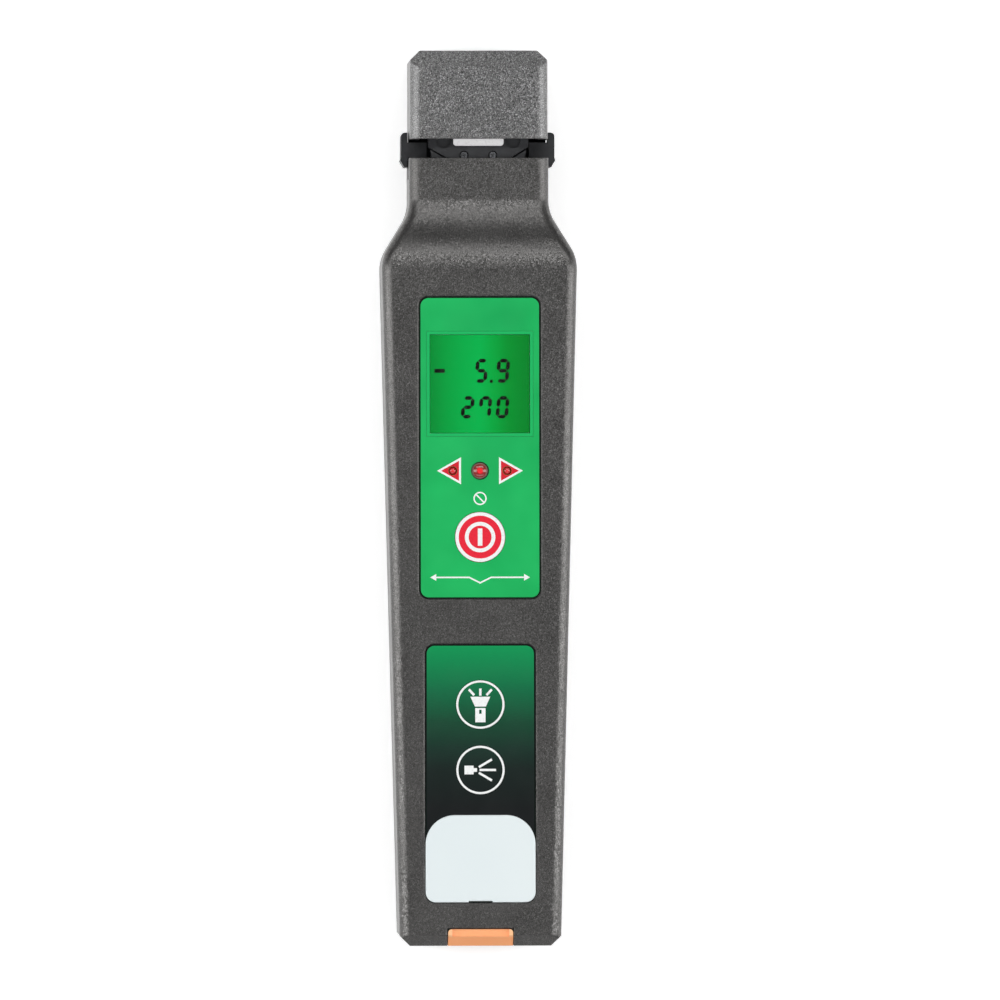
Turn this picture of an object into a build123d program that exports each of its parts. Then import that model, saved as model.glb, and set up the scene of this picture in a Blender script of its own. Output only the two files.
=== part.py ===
from build123d import *
import math
import os

# Fibre optic identifier, lying on its back, in millimetres.
# X runs across the case, Y from the foot to the head, Z from the back to the front face.

# Case
foot_width = 35.3
shoulder_width = 42.7
neck_width = 30.5
head_inset = 0.15
saddle_step = 4.0
wall = 2.2
gate_gap = 4.2
neck_height = 9.2
saddle_length = 15.3
saddle_turn_share = 0.515
saddle_fall_share = 0.43
bend_reach = 2.6
edge_radius = 2.3
corner_chamfer = 2.2
foot_bevel = 2.4
head_bevel = 3.5
back_chamfer = 1.0
parting_gap = 0.4

# Sides of the small rounds, inside the case and where they show or turn
inner_sides = 8
shown_sides = 16

# Front panels
panel_recess = 0.5
film_thickness = 0.4
film_clearance = 0.15
panel_corner = 2.2
display_panel_side = 2.45
display_panel_drop = 5.8
panel_gap = 9.7
key_panel_width = 24.35
key_panel_foot = 9.4
plate_height = 19.1
plate_gap = 4.55
plate_thickness = 0.35
plate_shoulder_radius = 6.4
plate_notch_width = 5.2

# Display and lamps
lcd_width = 21.9
lcd_height = 21.6
lcd_drop = 8.4
lens_rim = 0.75
lcd_border = 2.55
lcd_margin = 2.95
lamp_row_drop = 8.2
centre_lamp_radius = 1.5
centre_lamp_hole = 2.0
arrow_lamp_radius = 0.85
arrow_lamp_spacing = 5.95
lamp_flange = 0.3
lamp_flange_height = 1.0

# Keys
key_clearance = 0.1
key_flange = 0.75
key_flange_thickness = 1.0
key_play = 0.3
key_proud = 0.05
key_stem_radius = 1.6
key_stem_length = 1.0
power_key_radius = 5.45
small_key_radius = 5.3
power_key_drop = 14.5
power_key_foot = 13.6
torch_key_drop = 13.3
key_pitch = 14.3

# Board and what it carries
board_thickness = 1.6
board_drop = 4.8
board_gap = 0.2
board_margin = 2.5
board_overlap = 1.2
switch_width = 6.0
switch_height = 1.6
plunger_radius = 1.7
plunger_height = 0.4
post_radius = 1.5
board_screw_radius = 0.8
post_inset = 1.9
buzzer_radius = 4.5
buzzer_height = 3.0
buzzer_inset = 14.95

# Fibre gate
nose_side_gap = 2.1
nose_flank = 2.5
gate_angle = 30.7
nose_radius = 6.0
jaw_gap = 0.35
channel_depth = 1.0
plate_set_back = 4.3
lip_thickness = 1.5
channel_width = 3.8
rear_lip_thickness = 2.4
carriage_plate = 3.6
slide_gap = 0.3
jaw_inset = 0.45
jaw_waist_inset = 0.5
jaw_ear_drop = 0.4
jaw_floor = 2.83
anvil_side_gap = 0.3
anvil_root_height = 7.6
anvil_root_lift = 0.4
gate_screw_spacing = 6.32
gate_screw_lift = 0.7
gate_screw_head = 0.95
gate_screw_shank = 0.6
gate_screw_length = 5.0
gate_screw_sink = 0.2
strip_inset = 5.4
strip_height = 4.5
strip_lift = 2.7
strip_corner = 0.7
dimple_radius = 1.75
dimple_inset = 3.38
dimple_lift = 4.0
dimple_depth = 0.8
window_ledge = 0.45
lamp_recess = 1.2
detector_radius = 1.6
detector_length = 3.2
detector_inset = 4.0
detector_set_back = 0.2

# Carriage
carriage_travel = 3.5
carriage_side_gap = 0.65
carriage_shelf = 4.5
arm_height = 3.8
arm_drop = 0.2
arm_depth = 5.8
lug_gap = 0.2
lug_thickness = 1.4
lug_flare = 0.2
lug_height = 7.6
lug_top_lift = 1.6
lug_drop = 5.4
lug_corner = 0.9
lug_flare_height = 2.0
lug_flare_edge = 0.5
rod_radius = 1.25
rod_clearance = 0.05
rod_spacing = 8.0
rod_lift = 3.5
rib_thickness = 2.8
rib_side_gap = 2.05
rib_cover = 3.5
rib_drop = 7.3
spring_wire = 0.3
spring_radius = 1.9
spring_turns = 4
spring_sides = 8

# Foot: ferrule port, laser and flip cover
ferrule_bore = 2.5
sleeve_radius = 3.2
sleeve_length = 7.5
sleeve_clearance = 0.05
laser_radius = 3.0
laser_length = 20.0
laser_lift = 1.9
laser_gap = 0.4
cradle_inset = 5.0
cradle_thickness = 2.0
cradle_width = 10.0
cover_width = 14.2
cover_thickness = 2.0
cover_gap = 0.2
cover_lip_height = 3.7
cover_lip_depth = 2.0
thumb_recess = 0.6
thumb_height = 1.6
thumb_margin = 0.9
lip_corner = 0.8
hinge_z = 7.2
hinge_y = 2.0
hinge_pin_radius = 0.75
knuckle_radius = 1.7
pin_overhang = 1.8
port_block_width = 20.0
port_block_depth = 5.5

# Battery bay
cell_radius = 5.25
cell_length = 44.5
cell_gap = 0.3
bay_wall = 1.2
bay_foot = 12.0
bay_end_space = 2.6
door_thickness = 1.8
door_ledge = 2.65
door_taper = 1.2
door_clearance = 0.15
door_overlap = 9.9
door_ridges = 6
ridge_pitch = 2.2
ridge_width = 1.0
ridge_depth = 0.5
contact_thickness = 0.4
contact_bulge = 1.1
contact_width = 7.0
contact_half_height = 3.6
button_radius = 1.9
button_length = 1.0

# Screws
boss_radius = 2.8
screw_head_radius = 2.1
screw_head_height = 1.6
screw_radius = 1.1
screw_clearance = 0.2
screw_recess = 2.4
screw_length = 14.0
upper_boss_drop = 4.4
upper_boss_inset = 6.15
lower_boss_rise = 9.0
lower_boss_inset = 3.25
cap_screw_inset = 5.6
cap_screw_gap = 2.0
cap_end = 3.8
anvil_screw_inset = 7.1

# Heights stacked up from the back face
cell_z = door_thickness + cell_gap + cell_radius
bay_top_z = cell_z + cell_radius + cell_gap
port_z = bay_top_z + bay_wall + laser_lift + laser_radius
board_top_z = port_z + laser_radius + laser_gap + board_thickness
front_inner_z = board_top_z + board_drop
body_depth = front_inner_z + wall
neck_depth = body_depth - saddle_step
panel_floor_z = body_depth - panel_recess
film_top_z = panel_floor_z + film_thickness
plate_front_z = neck_depth - plate_set_back
channel_front_z = plate_front_z - lip_thickness
channel_rear_z = channel_front_z - channel_width
jaw_rear_z = channel_rear_z - rear_lip_thickness
carriage_rear_z = jaw_rear_z - carriage_plate
parting_z = carriage_rear_z - parting_gap
lug_back_z = carriage_rear_z - lug_drop
rod_z = jaw_rear_z + rod_lift
rib_top_z = rod_z + rib_cover

# Places along the case, from the foot to the top of the head
locator_key_y = key_panel_foot + film_clearance + plate_height + plate_gap + small_key_radius
torch_key_y = locator_key_y + key_pitch
key_panel_top_y = torch_key_y + torch_key_drop
key_panel_height = key_panel_top_y - key_panel_foot
key_panel_y = key_panel_foot + key_panel_height / 2
display_panel_foot = key_panel_top_y + panel_gap
power_key_y = display_panel_foot + power_key_foot
lamp_y = power_key_y + power_key_drop
lcd_y = lamp_y + lamp_row_drop + lcd_height / 2
display_panel_top_y = lcd_y + lcd_height / 2 + lcd_drop
display_panel_height = display_panel_top_y - display_panel_foot
display_panel_y = display_panel_foot + display_panel_height / 2
shoulder_y = display_panel_top_y + display_panel_drop
neck_y = shoulder_y + saddle_length
gate_bottom_y = neck_y + neck_height
gate_top_y = gate_bottom_y + gate_gap
anvil_top_y = gate_top_y + anvil_root_lift + anvil_root_height
anvil_screw_y = anvil_top_y - anvil_root_height / 2
cap_screw_y = anvil_top_y + cap_screw_gap + boss_radius
length = cap_screw_y + boss_radius + cap_end
head_height = length - gate_top_y
upper_boss_y = shoulder_y - upper_boss_drop
bay_length = cell_length + bay_end_space
door_length = bay_foot + bay_length + door_overlap
lower_boss_y = door_length + lower_boss_rise
board_foot_y = locator_key_y - switch_width / 2 - board_margin
board_head_y = lcd_y + lcd_height / 2 + lcd_margin + board_overlap
sleeve_y = cover_thickness + 3 * cover_gap

# Widths across the case
half_foot = foot_width / 2
half_shoulder = shoulder_width / 2
half_neck = neck_width / 2
head_width = neck_width - 2 * head_inset
half_head = head_width / 2
upper_boss_x = half_shoulder - upper_boss_inset
lower_boss_x = half_foot - lower_boss_inset
board_width = 2 * (lower_boss_x - boss_radius - board_gap)
display_panel_width = lcd_width + 2 * display_panel_side
nose_width = neck_width - 2 * (wall + nose_side_gap)
jaw_top_width = nose_width - 2 * jaw_inset
jaw_waist_width = jaw_top_width - 2 * jaw_waist_inset
carriage_width = neck_width - 2 * (wall + carriage_side_gap)
rib_width = neck_width - 2 * (wall + rib_side_gap)
anvil_root_width = head_width - 2 * (wall + anvil_side_gap)
cap_screw_spacing = head_width - 2 * cap_screw_inset
anvil_screw_spacing = anvil_root_width - 2 * anvil_screw_inset
strip_width = nose_width - 2 * strip_inset
dimple_spacing = nose_width - 2 * dimple_inset
detector_reach = jaw_waist_width / 2 - detector_inset
bay_width = 4 * cell_radius + 3 * cell_gap
door_width = bay_width + 2 * door_ledge

# The V of the gate and the height of the jaw under it
nose_corner_y = gate_bottom_y + nose_flank
gate_slope = math.tan(math.radians(gate_angle))
slope_cosine = math.cos(math.radians(gate_angle))
slope_sine = math.sin(math.radians(gate_angle))
nose_tip_y = nose_corner_y - nose_width / 2 * gate_slope
lip_drop = jaw_gap / slope_cosine
groove = channel_depth / slope_cosine
groove_tip_y = nose_tip_y - lip_drop - groove
jaw_base_y = groove_tip_y - jaw_floor
shelf_y = jaw_base_y - carriage_shelf
rib_top_y = shelf_y - rib_drop
beyond = 1.0


# The plan of body and neck, drawn in at the sides and the foot by inset
def body_plan(inset, reach):
    taper = (half_shoulder - half_foot) / shoulder_y
    shoulder_corner = (half_shoulder + taper * bend_reach, shoulder_y + bend_reach)
    neck_corner = (half_neck, neck_y - bend_reach)
    neck_turn = math.atan2(shoulder_corner[0] - half_neck, neck_corner[1] - shoulder_corner[1])
    shoulder_turn = neck_turn + math.atan(taper)
    shoulder_tangent = math.hypot(bend_reach, taper * bend_reach)
    right = [(half_foot, 0), shoulder_corner, neck_corner, (half_neck, gate_bottom_y + reach)]
    left = [(-x, y) for x, y in reversed(right)]
    with BuildSketch() as plan:
        with BuildLine():
            Polyline(*right, *left, close=True)
        make_face()
        shoulders = plan.vertices().filter_by(lambda v: abs(v.Y - shoulder_corner[1]) < 0.01)
        fillet(shoulders, radius=shoulder_tangent / math.tan(shoulder_turn / 2))
        necks = plan.vertices().filter_by(lambda v: abs(v.Y - neck_corner[1]) < 0.01)
        fillet(necks, radius=bend_reach / math.tan(neck_turn / 2))
        if inset:
            offset(amount=-inset, kind=Kind.INTERSECTION)
    return plan.sketch


# The side view: a flat front, the saddle that drops to the neck, and the neck's lower front
def body_side(inset, reach):
    steepest = (neck_y - saddle_turn_share * saddle_length, body_depth - saddle_fall_share * saddle_step)
    top_y = gate_bottom_y + reach
    with BuildSketch(Plane.YZ) as side:
        with BuildLine():
            Polyline(
                (shoulder_y, body_depth),
                (0, body_depth),
                (0, -inset),
                (top_y, -inset),
                (top_y, neck_depth),
                (neck_y, neck_depth),
            )
            hump = TangentArc((shoulder_y, body_depth), steepest, tangent=(1, 0))
            TangentArc(steepest, (neck_y, neck_depth), tangent=hump % 1)
        make_face()
        if inset:
            offset(amount=-inset, kind=Kind.INTERSECTION)
    return side.sketch


# Body and neck as one closed form
def body_form(inset, reach):
    plan = body_plan(inset, reach)
    side = body_side(inset, reach)
    with BuildPart() as form:
        extrude(plan, amount=body_depth)
        extrude(side, amount=shoulder_width, both=True, mode=Mode.INTERSECT)
        if not inset:
            rim = form.edges().filter_by(
                lambda e: e.center().Z > (parting_z + neck_depth) / 2
                and abs(e.center().X) > half_neck / 2
                and abs((e % 0.5).Z) < 0.9
            )
            fillet(rim, radius=edge_radius)
    return form.part


# The plan of the head, with its two chamfered corners
def head_plan(inset, bottom_y):
    with BuildSketch() as plan:
        with BuildLine():
            Polyline(
                (half_head - inset, bottom_y),
                (half_head - inset, length - corner_chamfer - inset),
                (half_head - corner_chamfer - inset, length - inset),
                (corner_chamfer + inset - half_head, length - inset),
                (inset - half_head, length - corner_chamfer - inset),
                (inset - half_head, bottom_y),
                close=True,
            )
        make_face()
    return plan.sketch


# A rectangle with rounded corners for a panel, film or recess
def panel_outline(width, height, corner, centre_y, z):
    with BuildSketch(Plane.XY.offset(z)) as outline:
        with Locations((0, centre_y)):
            RectangleRounded(width, height, corner)
    return outline.sketch


# Cuts that bevel the foot's two corners and its front edge, on every piece there
def foot_cuts():
    with BuildPart() as cuts:
        with BuildSketch():
            for side in (-1, 1):
                with BuildLine():
                    Polyline(
                        (side * (half_foot + beyond), -beyond),
                        (side * (half_foot - corner_chamfer - beyond), -beyond),
                        (side * (half_foot + beyond), corner_chamfer + beyond),
                        close=True,
                    )
                make_face()
        extrude(amount=body_depth + beyond)
        with BuildSketch(Plane.YZ):
            with BuildLine():
                Polyline(
                    (-beyond, body_depth + beyond),
                    (-beyond, body_depth - foot_bevel - beyond),
                    (foot_bevel + beyond, body_depth + beyond),
                    close=True,
                )
            make_face()
        extrude(amount=shoulder_width, both=True)
    return cuts.part


screw_places = [
    (-upper_boss_x, upper_boss_y),
    (upper_boss_x, upper_boss_y),
    (-lower_boss_x, lower_boss_y),
    (lower_boss_x, lower_boss_y),
]
cap_screw_places = [(-cap_screw_spacing / 2, cap_screw_y), (cap_screw_spacing / 2, cap_screw_y)]
anvil_screw_places = [
    (-anvil_screw_spacing / 2, anvil_screw_y),
    (anvil_screw_spacing / 2, anvil_screw_y),
]
post_x = board_width / 2 - post_inset
post_places = [
    (-post_x, board_foot_y + post_inset),
    (post_x, board_foot_y + post_inset),
    (-post_x, lamp_y - post_inset),
    (post_x, lamp_y - post_inset),
]
key_places = {
    "power": (power_key_y, power_key_radius),
    "torch": (torch_key_y, small_key_radius),
    "locator": (locator_key_y, small_key_radius),
}
lamp_places = {
    "left": (-arrow_lamp_spacing, arrow_lamp_radius),
    "centre": (0, centre_lamp_radius),
    "right": (arrow_lamp_spacing, arrow_lamp_radius),
}
lamp_holes = {
    "left": arrow_lamp_radius + key_clearance,
    "centre": centre_lamp_hole,
    "right": arrow_lamp_radius + key_clearance,
}

outer_form = body_form(0, 0)
cavity_form = body_form(wall, wall + beyond)
bevels = foot_cuts()
pocket_width = cover_width + 2 * cover_gap
pocket_depth = cover_thickness + cover_gap
half_pin = cover_width / 2 + pin_overhang


# Flip cover's pocket, its hinge recess and the pin's hole, cut from both shells
def cover_pocket():
    with BuildPart() as pocket:
        with BuildSketch(Plane.YZ) as room:
            with BuildLine():
                Polyline(
                    (-beyond, hinge_z - knuckle_radius - 3 * cover_gap),
                    (pocket_depth, hinge_z - knuckle_radius - 3 * cover_gap),
                    (pocket_depth, body_depth - cover_lip_depth - cover_gap),
                    (cover_lip_height + cover_gap, body_depth - cover_lip_depth - cover_gap),
                    (cover_lip_height + cover_gap, body_depth + beyond),
                    (-beyond, body_depth + beyond),
                    close=True,
                )
            make_face()
            with Locations((hinge_y, hinge_z)):
                Circle(knuckle_radius + 3 * cover_gap)
        extrude(amount=pocket_width / 2, both=True)
        with BuildSketch(Plane.YZ):
            with Locations((hinge_y, hinge_z)):
                RegularPolygon(hinge_pin_radius, shown_sides)
        extrude(amount=half_pin, both=True)
    return pocket.part


pocket_form = cover_pocket()

# Front shell: the moulded face, its bosses, the board's posts and the port's block
with BuildPart() as front_shell:
    add(outer_form)
    add(cavity_form, mode=Mode.SUBTRACT)
    with BuildSketch(Plane.XY.offset(parting_z)):
        with Locations(*screw_places):
            RegularPolygon(boss_radius, inner_sides)
    extrude(amount=front_inner_z - parting_z)
    with BuildSketch(Plane.XY.offset(board_top_z)):
        with Locations(*post_places):
            RegularPolygon(post_radius, inner_sides)
    extrude(amount=front_inner_z - board_top_z)
    with BuildSketch(Plane.XY.offset(parting_z)):
        with Locations((0, port_block_depth / 2)):
            Rectangle(port_block_width, port_block_depth)
    extrude(amount=front_inner_z - parting_z)
    split(bisect_by=Plane.XY.offset(parting_z), keep=Keep.TOP)
    add(bevels, mode=Mode.SUBTRACT)
    add(pocket_form, mode=Mode.SUBTRACT)
    # Recesses for the two films
    extrude(
        panel_outline(
            display_panel_width, display_panel_height, panel_corner, display_panel_y, panel_floor_z
        ),
        amount=panel_recess + beyond,
        mode=Mode.SUBTRACT,
    )
    extrude(
        panel_outline(key_panel_width, key_panel_height, panel_corner, key_panel_y, panel_floor_z),
        amount=panel_recess + beyond,
        mode=Mode.SUBTRACT,
    )
    # Openings for the display, the lamps and the keys
    with BuildSketch(Plane.XY.offset(front_inner_z - beyond)):
        with Locations((0, lcd_y)):
            Rectangle(lcd_width, lcd_height)
        for name, (x, radius) in lamp_places.items():
            with Locations((x, lamp_y)):
                RegularPolygon(lamp_holes[name], shown_sides)
        for y, radius in key_places.values():
            with Locations((0, y)):
                Circle(radius + key_clearance)
    extrude(amount=wall + 2 * beyond, mode=Mode.SUBTRACT)
    # Pilot holes for the case screws and the board screws
    with BuildSketch(Plane.XY.offset(parting_z)):
        with Locations(*screw_places):
            RegularPolygon(screw_radius + sleeve_clearance, inner_sides)
    extrude(amount=screw_length - (parting_z - screw_recess) + beyond, mode=Mode.SUBTRACT)
    with BuildSketch(Plane.XY.offset(board_top_z)):
        with Locations(*post_places):
            RegularPolygon(board_screw_radius + sleeve_clearance, inner_sides)
    extrude(amount=wall + beyond, mode=Mode.SUBTRACT)
    # Port hole for the sleeve
    with BuildSketch(Plane.XZ.offset(beyond)):
        with Locations((0, port_z)):
            Circle(sleeve_radius + sleeve_clearance)
    extrude(amount=-port_block_depth - 2 * beyond, mode=Mode.SUBTRACT)
    # Slots in the neck's sides for the carriage's arms
    with BuildSketch(Plane.XY.offset(parting_z)):
        slot_depth = gate_gap - arm_height + carriage_travel + 2 * slide_gap
        with Locations((0, gate_bottom_y + beyond / 2 - slot_depth / 2)):
            Rectangle(neck_width + 2 * beyond, slot_depth + beyond)
    extrude(amount=arm_depth + carriage_rear_z - parting_z + slide_gap, mode=Mode.SUBTRACT)
front_shell.part.label = "front_shell"

# Rear shell: the back, the spine behind the head, the battery tub and the spring seat
with BuildPart() as rear_shell:
    extrude(body_plan(0, 0), amount=parting_z)
    extrude(head_plan(0, gate_bottom_y - beyond), amount=parting_z)
    back_rim = rear_shell.faces().sort_by(Axis.Z)[0].outer_wire().edges()
    chamfer(back_rim, length=back_chamfer)
    with BuildSketch(Plane.XY.offset(wall)):
        add(body_plan(wall, 0))
    extrude(amount=parting_z, mode=Mode.SUBTRACT)
    with BuildSketch(Plane.XY.offset(wall)):
        add(head_plan(wall, anvil_screw_y + anvil_root_height / 2))
    extrude(amount=parting_z, mode=Mode.SUBTRACT)
    # Battery tub, port block, bosses and the rib that seats the springs
    with BuildSketch(Plane.XY.offset(wall)):
        with Locations((0, bay_foot + bay_length / 2)):
            Rectangle(bay_width + 2 * bay_wall, bay_length + 2 * bay_wall)
    extrude(amount=bay_top_z + bay_wall - wall)
    with BuildSketch(Plane.XY.offset(wall)):
        with Locations((0, port_block_depth / 2)):
            Rectangle(port_block_width, port_block_depth)
        with Locations(*screw_places, *cap_screw_places):
            RegularPolygon(boss_radius, inner_sides)
    extrude(amount=parting_z - wall)
    with BuildSketch(Plane.XY.offset(wall)):
        with Locations((0, rib_top_y - rib_thickness / 2)):
            Rectangle(rib_width, rib_thickness)
    extrude(amount=rib_top_z - wall)
    with BuildSketch(Plane.XZ.offset(-rib_top_y - beyond)):
        with Locations((-rod_spacing / 2, rod_z), (rod_spacing / 2, rod_z)):
            RegularPolygon(rod_radius, inner_sides)
    extrude(amount=rib_thickness + 2 * beyond, mode=Mode.SUBTRACT)
    # Cradle on the battery tub that carries the far end of the laser
    with BuildSketch(Plane.XZ.offset(-sleeve_y - sleeve_length - laser_length + cradle_inset)):
        with Locations((0, (bay_top_z + port_z) / 2)):
            Rectangle(cradle_width, port_z - bay_top_z)
        with Locations((0, port_z)):
            Circle(laser_radius + sleeve_clearance, mode=Mode.SUBTRACT)
    extrude(amount=cradle_thickness)
    # Bay, open at the back, and the undercut track of its door
    with BuildSketch():
        with Locations((0, bay_foot + bay_length / 2)):
            Rectangle(bay_width, bay_length)
    extrude(amount=bay_top_z, mode=Mode.SUBTRACT)
    with BuildSketch(Plane.XZ.offset(beyond)):
        with BuildLine():
            Polyline(
                (-door_width / 2 - door_clearance, -beyond),
                (door_width / 2 + door_clearance, -beyond),
                (door_width / 2 + door_clearance, 0),
                (door_width / 2 + door_taper + door_clearance, door_thickness + door_clearance),
                (-door_width / 2 - door_taper - door_clearance, door_thickness + door_clearance),
                (-door_width / 2 - door_clearance, 0),
                close=True,
            )
        make_face()
    extrude(amount=-door_length - door_clearance - beyond, mode=Mode.SUBTRACT)
    # Screw holes from the back, with sunk seats for the heads
    with BuildSketch():
        with Locations(*screw_places, *cap_screw_places, *anvil_screw_places):
            RegularPolygon(screw_radius + screw_clearance, inner_sides)
    extrude(amount=parting_z + beyond, mode=Mode.SUBTRACT)
    with BuildSketch():
        with Locations(*screw_places, *cap_screw_places, *anvil_screw_places):
            RegularPolygon(screw_head_radius + screw_clearance, shown_sides)
    extrude(amount=screw_recess, mode=Mode.SUBTRACT)
    with BuildSketch():
        with Locations(*screw_places, *cap_screw_places):
            RegularPolygon(boss_radius, inner_sides)
            RegularPolygon(screw_head_radius + screw_clearance, shown_sides, mode=Mode.SUBTRACT)
    extrude(amount=wall, mode=Mode.ADD)
    add(bevels, mode=Mode.SUBTRACT)
    add(pocket_form, mode=Mode.SUBTRACT)
rear_shell.part.label = "rear_shell"

# Head cap: a bevelled hood that closes over the anvil, open towards the gate
with BuildPart() as head_cap:
    extrude(head_plan(0, gate_top_y), amount=neck_depth)
    with BuildSketch(Plane.YZ):
        with BuildLine():
            Polyline(
                (length - head_bevel, neck_depth),
                (length + beyond, neck_depth + beyond),
                (length + beyond, neck_depth - head_bevel),
                (length, neck_depth - head_bevel),
                close=True,
            )
        make_face()
    extrude(amount=head_width, both=True, mode=Mode.SUBTRACT)
    cap_rim = head_cap.edges().filter_by(
        lambda e: e.center().Z > neck_depth - 0.1 and abs(e.center().X) > half_head - 0.1
    )
    fillet(cap_rim, radius=edge_radius)
    with BuildSketch(Plane.XY):
        add(head_plan(wall, gate_top_y - beyond))
    extrude(amount=neck_depth - head_bevel, mode=Mode.SUBTRACT)
    with BuildSketch(Plane.XY):
        inner_height = head_height - head_bevel
        with Locations((0, gate_top_y - beyond + inner_height / 2)):
            Rectangle(head_width - 2 * wall, inner_height)
    extrude(amount=neck_depth - wall, mode=Mode.SUBTRACT)
    with BuildSketch(Plane.XY):
        with Locations(*cap_screw_places):
            RegularPolygon(boss_radius, inner_sides)
    extrude(amount=neck_depth - head_bevel)
    with BuildSketch(Plane.XY):
        with Locations(*cap_screw_places):
            RegularPolygon(screw_radius + sleeve_clearance, inner_sides)
    extrude(amount=screw_recess + screw_length + beyond, mode=Mode.SUBTRACT)
    split(bisect_by=Plane.XY.offset(parting_z), keep=Keep.TOP)
head_cap.part.label = "head_cap"

# Display film, with openings for the lens, the lamps and the power key
with BuildPart() as display_overlay:
    extrude(
        panel_outline(
            display_panel_width - 2 * film_clearance,
            display_panel_height - 2 * film_clearance,
            panel_corner - film_clearance,
            display_panel_y,
            panel_floor_z,
        ),
        amount=film_thickness,
    )
    with BuildSketch(Plane.XY.offset(panel_floor_z)):
        with Locations((0, lcd_y)):
            Rectangle(lcd_width + 2 * lens_rim, lcd_height + 2 * lens_rim)
        for name, (x, radius) in lamp_places.items():
            with Locations((x, lamp_y)):
                RegularPolygon(lamp_holes[name], shown_sides)
        with Locations((0, power_key_y)):
            Circle(power_key_radius + key_clearance)
    extrude(amount=film_thickness, mode=Mode.SUBTRACT)
display_overlay.part.label = "display_overlay"

# Clear lens over the display, resting on the rim of the shell's opening
with BuildPart() as display_lens:
    with BuildSketch(Plane.XY.offset(panel_floor_z)):
        with Locations((0, lcd_y)):
            Rectangle(
                lcd_width + 2 * lens_rim - 2 * sleeve_clearance,
                lcd_height + 2 * lens_rim - 2 * sleeve_clearance,
            )
    extrude(amount=film_thickness)
display_lens.part.label = "display_lens"

# Key film, with openings for the torch and locator keys
with BuildPart() as key_overlay:
    extrude(
        panel_outline(
            key_panel_width - 2 * film_clearance,
            key_panel_height - 2 * film_clearance,
            panel_corner - film_clearance,
            key_panel_y,
            panel_floor_z,
        ),
        amount=film_thickness,
    )
    with BuildSketch(Plane.XY.offset(panel_floor_z)):
        with Locations((0, torch_key_y), (0, locator_key_y)):
            Circle(small_key_radius + key_clearance)
    extrude(amount=film_thickness, mode=Mode.SUBTRACT)
key_overlay.part.label = "key_overlay"

# Blank name plate, bonded on the lower end of the key film
with BuildPart() as name_plate:
    plate_width = key_panel_width - 2 * film_clearance
    plate_y = key_panel_foot + film_clearance
    with BuildSketch(Plane.XY.offset(film_top_z)) as plate_outline:
        with Locations((0, plate_y + plate_height / 2)):
            Rectangle(plate_width, plate_height)
        fillet(plate_outline.vertices().group_by(Axis.Y)[-1], radius=plate_shoulder_radius)
        fillet(plate_outline.vertices().group_by(Axis.Y)[0], radius=panel_corner)
        with Locations((0, plate_y)):
            Rectangle(plate_notch_width, 2 * film_thickness, mode=Mode.SUBTRACT)
    extrude(amount=plate_thickness)
name_plate.part.label = "name_plate"

# Display module: a frame on the board and the glass that rises into the shell's opening
with BuildPart() as lcd_module:
    with BuildSketch(Plane.XY.offset(board_top_z)):
        with Locations((0, lcd_y)):
            Rectangle(lcd_width + 2 * lcd_border, lcd_height + 2 * lcd_margin)
    extrude(amount=front_inner_z - board_top_z - sleeve_clearance)
    with BuildSketch(Plane.XY.offset(board_top_z)):
        with Locations((0, lcd_y)):
            Rectangle(lcd_width - 2 * key_clearance, lcd_height - 2 * key_clearance)
    extrude(amount=panel_floor_z - board_top_z - 2 * key_clearance)
lcd_module.part.label = "lcd_module"

# Main board, hung from the front shell's posts
with BuildPart() as main_board:
    with BuildSketch(Plane.XY.offset(board_top_z - board_thickness)):
        with Locations((0, (board_foot_y + board_head_y) / 2)):
            Rectangle(board_width, board_head_y - board_foot_y)
        with Locations(*post_places):
            RegularPolygon(board_screw_radius + sleeve_clearance, inner_sides, mode=Mode.SUBTRACT)
    extrude(amount=board_thickness)
main_board.part.label = "main_board"

with BuildPart() as board_screws:
    with BuildSketch(Plane.XY.offset(board_top_z - board_thickness)):
        with Locations(*post_places):
            RegularPolygon(board_screw_radius, inner_sides)
    extrude(amount=board_thickness + wall)
    with BuildSketch(Plane.XY.offset(board_top_z - board_thickness)):
        with Locations(*post_places):
            RegularPolygon(2 * board_screw_radius, inner_sides)
    extrude(amount=-board_screw_radius)
board_screws.part.label = "board_screws"

# Buzzer under the board
with BuildPart() as buzzer:
    with BuildSketch(Plane.XY.offset(board_top_z - board_thickness)):
        with Locations((0, board_head_y - buzzer_inset)):
            RegularPolygon(buzzer_radius, shown_sides)
    extrude(amount=-buzzer_height)
buzzer.part.label = "buzzer"


# A lamp standing on the board with its flange, the tip just under the film's face
def make_lamp(x, radius):
    tip_z = film_top_z - sleeve_clearance
    with BuildPart() as lamp:
        with BuildSketch(Plane.XY.offset(board_top_z)):
            with Locations((x, lamp_y)):
                RegularPolygon(radius + lamp_flange, inner_sides)
        extrude(amount=lamp_flange_height)
        with BuildSketch(Plane.XY.offset(board_top_z)):
            with Locations((x, lamp_y)):
                RegularPolygon(radius, shown_sides)
        extrude(amount=tip_z - board_top_z)
        chamfer(lamp.edges().group_by(Axis.Z)[-1], length=radius / 2)
    return lamp.part


lamps = {name: make_lamp(x, radius) for name, (x, radius) in lamp_places.items()}
for name, lamp in lamps.items():
    lamp.label = "led_" + name


# A tact switch under each key
def make_switch(y):
    with BuildPart() as switch:
        with BuildSketch(Plane.XY.offset(board_top_z)):
            with Locations((0, y)):
                Rectangle(switch_width, switch_width)
        extrude(amount=switch_height)
        with BuildSketch(Plane.XY.offset(board_top_z + switch_height)):
            with Locations((0, y)):
                RegularPolygon(plunger_radius, inner_sides)
        extrude(amount=plunger_height)
    return switch.part


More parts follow.
